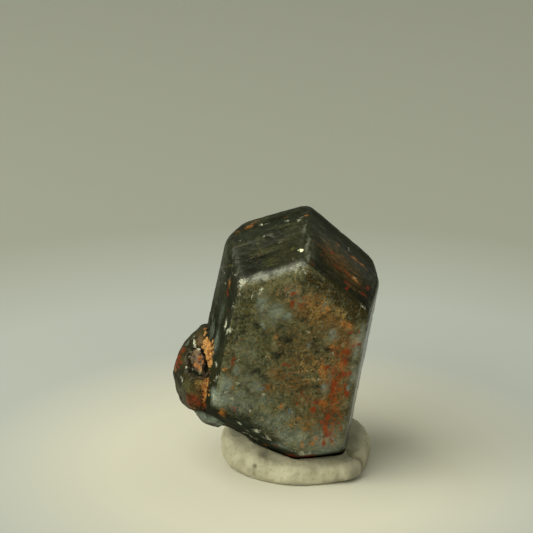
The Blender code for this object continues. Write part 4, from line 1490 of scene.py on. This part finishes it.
# %% Seat the putty against the crystal
PUTTY_NET = 0.09
SEAT_REACH = 0.9
SEAT_OVERLAP = 0.04
FAR_OFF = 9.0
putty_skin = fine_skin(solid_copy("display_putty"), "putty_pad", PUTTY_NET)
crystal_faces = [list(face.vertices) for face in large_skin.polygons]
crystal_tree = BVHTree.FromPolygons([point.co for point in large_skin.vertices], crystal_faces)
points = points_of(putty_skin)
points = smoothed(putty_skin, points, np.full(len(points), 0.4), 3)
near = np.full(len(points), FAR_OFF)
for index, point in enumerate(points):
    hit, normal, _, gap = crystal_tree.find_nearest(Vector(point), SEAT_REACH)
    if hit is None:
        continue
    near[index] = gap
    drawn = float(ease(np.array(0.85 - gap), 0.0, 0.4))
    pull = np.array(hit - normal * SEAT_OVERLAP) - point
    pull[2] = min(pull[2], pull[2] * 0.3)
    points[index] += pull * drawn
print("points drawn onto the crystal:", int((near < 0.6).sum()))

# %% Tell what each point of the putty is near
move_to(putty_skin, points)
outward = normals_of(putty_skin)
loose = ease(near, 0.3, 0.9)
plan = points - np.array(PUTTY_MIDDLE)
soft, lumpy = cloud(points, 0.28, 2, 12.0), cloud(points, 0.9, 3, 3.0)
grainy = cloud(points, 3.5, 4, 8.0)


def crease(path, width, depth):
    """A pressed line on the pad through places in plan, in mm from its middle."""
    gap = np.full(len(plan), 99.0)
    for first, second in zip(path, path[1:]):
        first, second = np.array(first), np.array(second)
        along = second - first
        t = np.clip(((plan[:, :2] - first) @ along) / (along @ along), 0, 1)
        gap = np.minimum(gap, np.linalg.norm(plan[:, :2] - first - t[:, None] * along, axis=1))
    return depth * bell(gap, width)


print("points of the putty clear of the crystal:", int((loose > 0.5).sum()))


# %% Press the dents and creases: a path in plan, a width and a depth, in mm
CREASES = (
    (((3.4, -2.9), (3.8, -3.65), (4.3, -3.6), (5.4, -3.2)), 0.17, 0.50),
    (((-1.9, -4.0), (-1.8, -4.9), (-1.7, -5.9)), 0.14, 0.06),
    (((0.3, -4.6), (0.1, -5.9)), 0.16, 0.04),
    (((2.6, -4.4), (3.0, -5.4)), 0.3, 0.08),
    (((5.0, -1.4), (5.3, -2.6)), 0.6, 0.16),
    (((-3.2, -3.4), (-4.3, -4.4)), 0.3, 0.08),
    (((-2.66, -4.42), (-2.62, -4.46)), 0.1, 0.12),
)
BULGES = ((((4.3, -4.4), (3.4, -5.0)), 0.8, 0.34), (((-4.0, -2.6), (-3.0, -4.1)), 0.7, 0.08))
pressed = sum(crease(*line) for line in CREASES)
pushed_up = sum(crease(*line) for line in BULGES)
above = ease(points[:, 2], 0.0, 0.5)
relief = (0.17 * soft + 0.11 * lumpy + 0.016 * grainy + pushed_up - pressed) * loose
points = points + outward * relief[:, None] * above[:, None]
points[:, 2] = np.maximum(points[:, 2], 0.0)
move_to(putty_skin, points)
print("deepest crease in mm:", round(float(pressed.max()), 2))

# %% Smudge the putty and paint shade into it, and store what its finish needs
# Many of these dabs are painted shade: under the right lobe, beside the creases and where the
# crystal's lower left band meets the pad. The rest are smudges of dirt.
SMUDGES_AND_SHADE = (
    (-2.13, -4, 1.66, 0.4, 0.8), (-1.8, -4.43, 1.49, 0.3, 0.5), (-1.33, -4.63, 1.44, 0.3, 0.4),
    (-2.67, -4.41, 1.04, 0.12, 1), (1.12, -5.26, 1, 0.5, 0.3), (2, -4.51, 1.38, 0.5, 0.3),
    (3.68, -4.16, 1.22, 0.8, 0.5), (3.81, -4.48, 0.63, 0.7, 0.6), (4.37, -3.85, 0.49, 0.7, 0.6),
    (4.12, -2.91, 1.52, 0.5, 0.3), (4.55, -2.15, 1.54, 0.6, 0.1), (3.42, -1.9, 0.69, 0.9, 0.6),
    (-3.47, -3.8, 1.05, 0.3, 0.3), (-3, -4.24, 0.67, 0.25, 0.4), (2.86, -4.95, 0.42, 0.5, 0.4),
)
paint(putty_skin, "smudge_and_shade", round_dabs(plan, SMUDGES_AND_SHADE, np.zeros(len(plan))))
# Painted shade: the creases are darkened in the finish as well as pressed in.
paint(putty_skin, "crease", np.clip(pressed * 5, 0, 1))
# Painted shade where the pad meets the crystal.
paint(putty_skin, "contact_shade", 1 - ease(near, 0.1, 0.7))
print(len(SMUDGES_AND_SHADE), "smudges on the putty")

# %% The putty's finish
putty = Finish("bone putty")
here = putty.place()
clouds = putty.noise(here, 0.5, 4.0, 0.6)
dust = putty.noise(here, 3.0, 6.0, 0.7)
dots = putty.noise(here, 7.0, 2.0, 0.5)
smudge_and_shade = (putty.painted("smudge_and_shade") + dust * 0.9 - 0.45).rise(0.0, 0.9)
colour = putty.coats(
    (0.405, 0.382, 0.275),
    (clouds.rise(0.35, 0.65), (0.505, 0.478, 0.36)),
    (dust.rise(0.52, 0.34) * 0.5, (0.26, 0.225, 0.135)),
    # Painted shade in the creases, on the shaded smudges and round the crystal.
    (putty.painted("crease") * 0.5, (0.20, 0.17, 0.095)),
    (smudge_and_shade * 0.85, (0.135, 0.125, 0.090)),
    (putty.painted("contact_shade") * 0.4, (0.24, 0.215, 0.14)),
    (dots.rise(0.67, 0.74) * 0.7, (0.15, 0.09, 0.05)),
)
DENT_DEPTH = 0.00010
matt = putty.bump(dust * 0.8 + clouds * 0.3, DENT_DEPTH, 0.7)
bone = putty.surface(base_color=colour, roughness=(0.62 + dust * 0.2).held(), normal=matt)
hand_over(putty_skin, "putty_pad", "display_putty", bone)

# %% [markdown]
# ## Rust crumbs
# Where the two crystals meet, the ochre crust is made of crumbs. Geometry Nodes scatter small
# irregular grains over the crust with a fixed seed, more of them where the painted crust is
# thicker, and the result is made a plain mesh.

# %% One irregular grain
UNEVEN = 0.35
grain_shape = bpy.data.meshes.new("grain")
work = bmesh.new()
bmesh.ops.create_icosphere(work, subdivisions=1, radius=1.0)
for corner in work.verts:
    corner.co *= 1.0 + UNEVEN * noise.noise(corner.co * 2.3)
work.to_mesh(grain_shape)
work.free()
grain_holder = bpy.data.objects.new("grain", grain_shape)
print("one grain has", len(grain_shape.polygons), "faces")

# %% Scatter the grains
SMALLEST, LARGEST = (0.02, 0.02, 0.015), (0.065, 0.06, 0.05)
CRUMBS_PER_SQUARE_MM = 55.0
CRUMB_SEED = 5
crumb_inputs = (
    ("Density", "NodeSocketFloat"),
    ("Seed", "NodeSocketInt"),
    ("Largest", "NodeSocketVector"),
    ("Finish", "NodeSocketMaterial"),
)
scatter = new_tree("rust crumbs", crumb_inputs)
given = scatter.nodes.new("NodeGroupInput").outputs
sharp = tree_math(scatter, "POWER", tree_painted(scatter, "crust"), 2.0)
dense = tree_math(scatter, "MULTIPLY", sharp, given["Density"])
spread = {"Mesh": given["Geometry"], "Density": dense, "Seed": given["Seed"]}
at_random = {"distribute_method": "RANDOM"}
dots = tree_node(scatter, "GeometryNodeDistributePointsOnFaces", at_random, spread)
shape = tree_node(scatter, "GeometryNodeObjectInfo", {}, {"Object": grain_holder})
vector = {"data_type": "FLOAT_VECTOR"}
least = {"Min": SMALLEST, "Max": given["Largest"], "Seed": given["Seed"]}
size = tree_node(scatter, "FunctionNodeRandomValue", vector, least)
whole_turn = {"Min": (0, 0, 0), "Max": (6.28, 6.28, 6.28), "Seed": given["Seed"]}
turned = tree_node(scatter, "FunctionNodeRandomValue", vector, whole_turn)
put = {"Points": dots["Points"], "Instance": shape["Geometry"]}
put |= {"Rotation": turned[0], "Scale": size[0]}
grains = tree_node(scatter, "GeometryNodeInstanceOnPoints", {}, put)
finish_tree(scatter, grains[0], given["Finish"])
print("the crumbs' tree has", len(scatter.nodes), "nodes")

# %% The crumbs' finish, and the crumbs themselves
crumb_look = Finish("ochre crumbs")
tint = crumb_look.noise(crumb_look.place(), 2.5, 4.0)
colour = crumb_look.blend(tint.rise(0.40, 0.60), (0.34, 0.11, 0.03), (0.74, 0.44, 0.17))
crumb_finish = crumb_look.surface(base_color=colour, roughness=0.85)
crumb_values = {"Density": CRUMBS_PER_SQUARE_MM, "Seed": CRUMB_SEED}
crumb_values |= {"Largest": LARGEST, "Finish": crumb_finish}
crumbs = run_tree(small_skin.copy(), scatter, crumb_values)
bpy.data.objects.remove(grain_holder)
print("crumb points:", len(crumbs.vertices))

# %% Hand over the crystals and the crumbs
hand_over(large_skin, "sapphire", "sapphire_crystal", sapphire)
hand_over(small_skin, "side_crystal", "sapphire_crystal", sapphire)
hand_over(crumbs, "rust_crumbs", "sapphire_crystal", crumb_finish, stands_for=False)
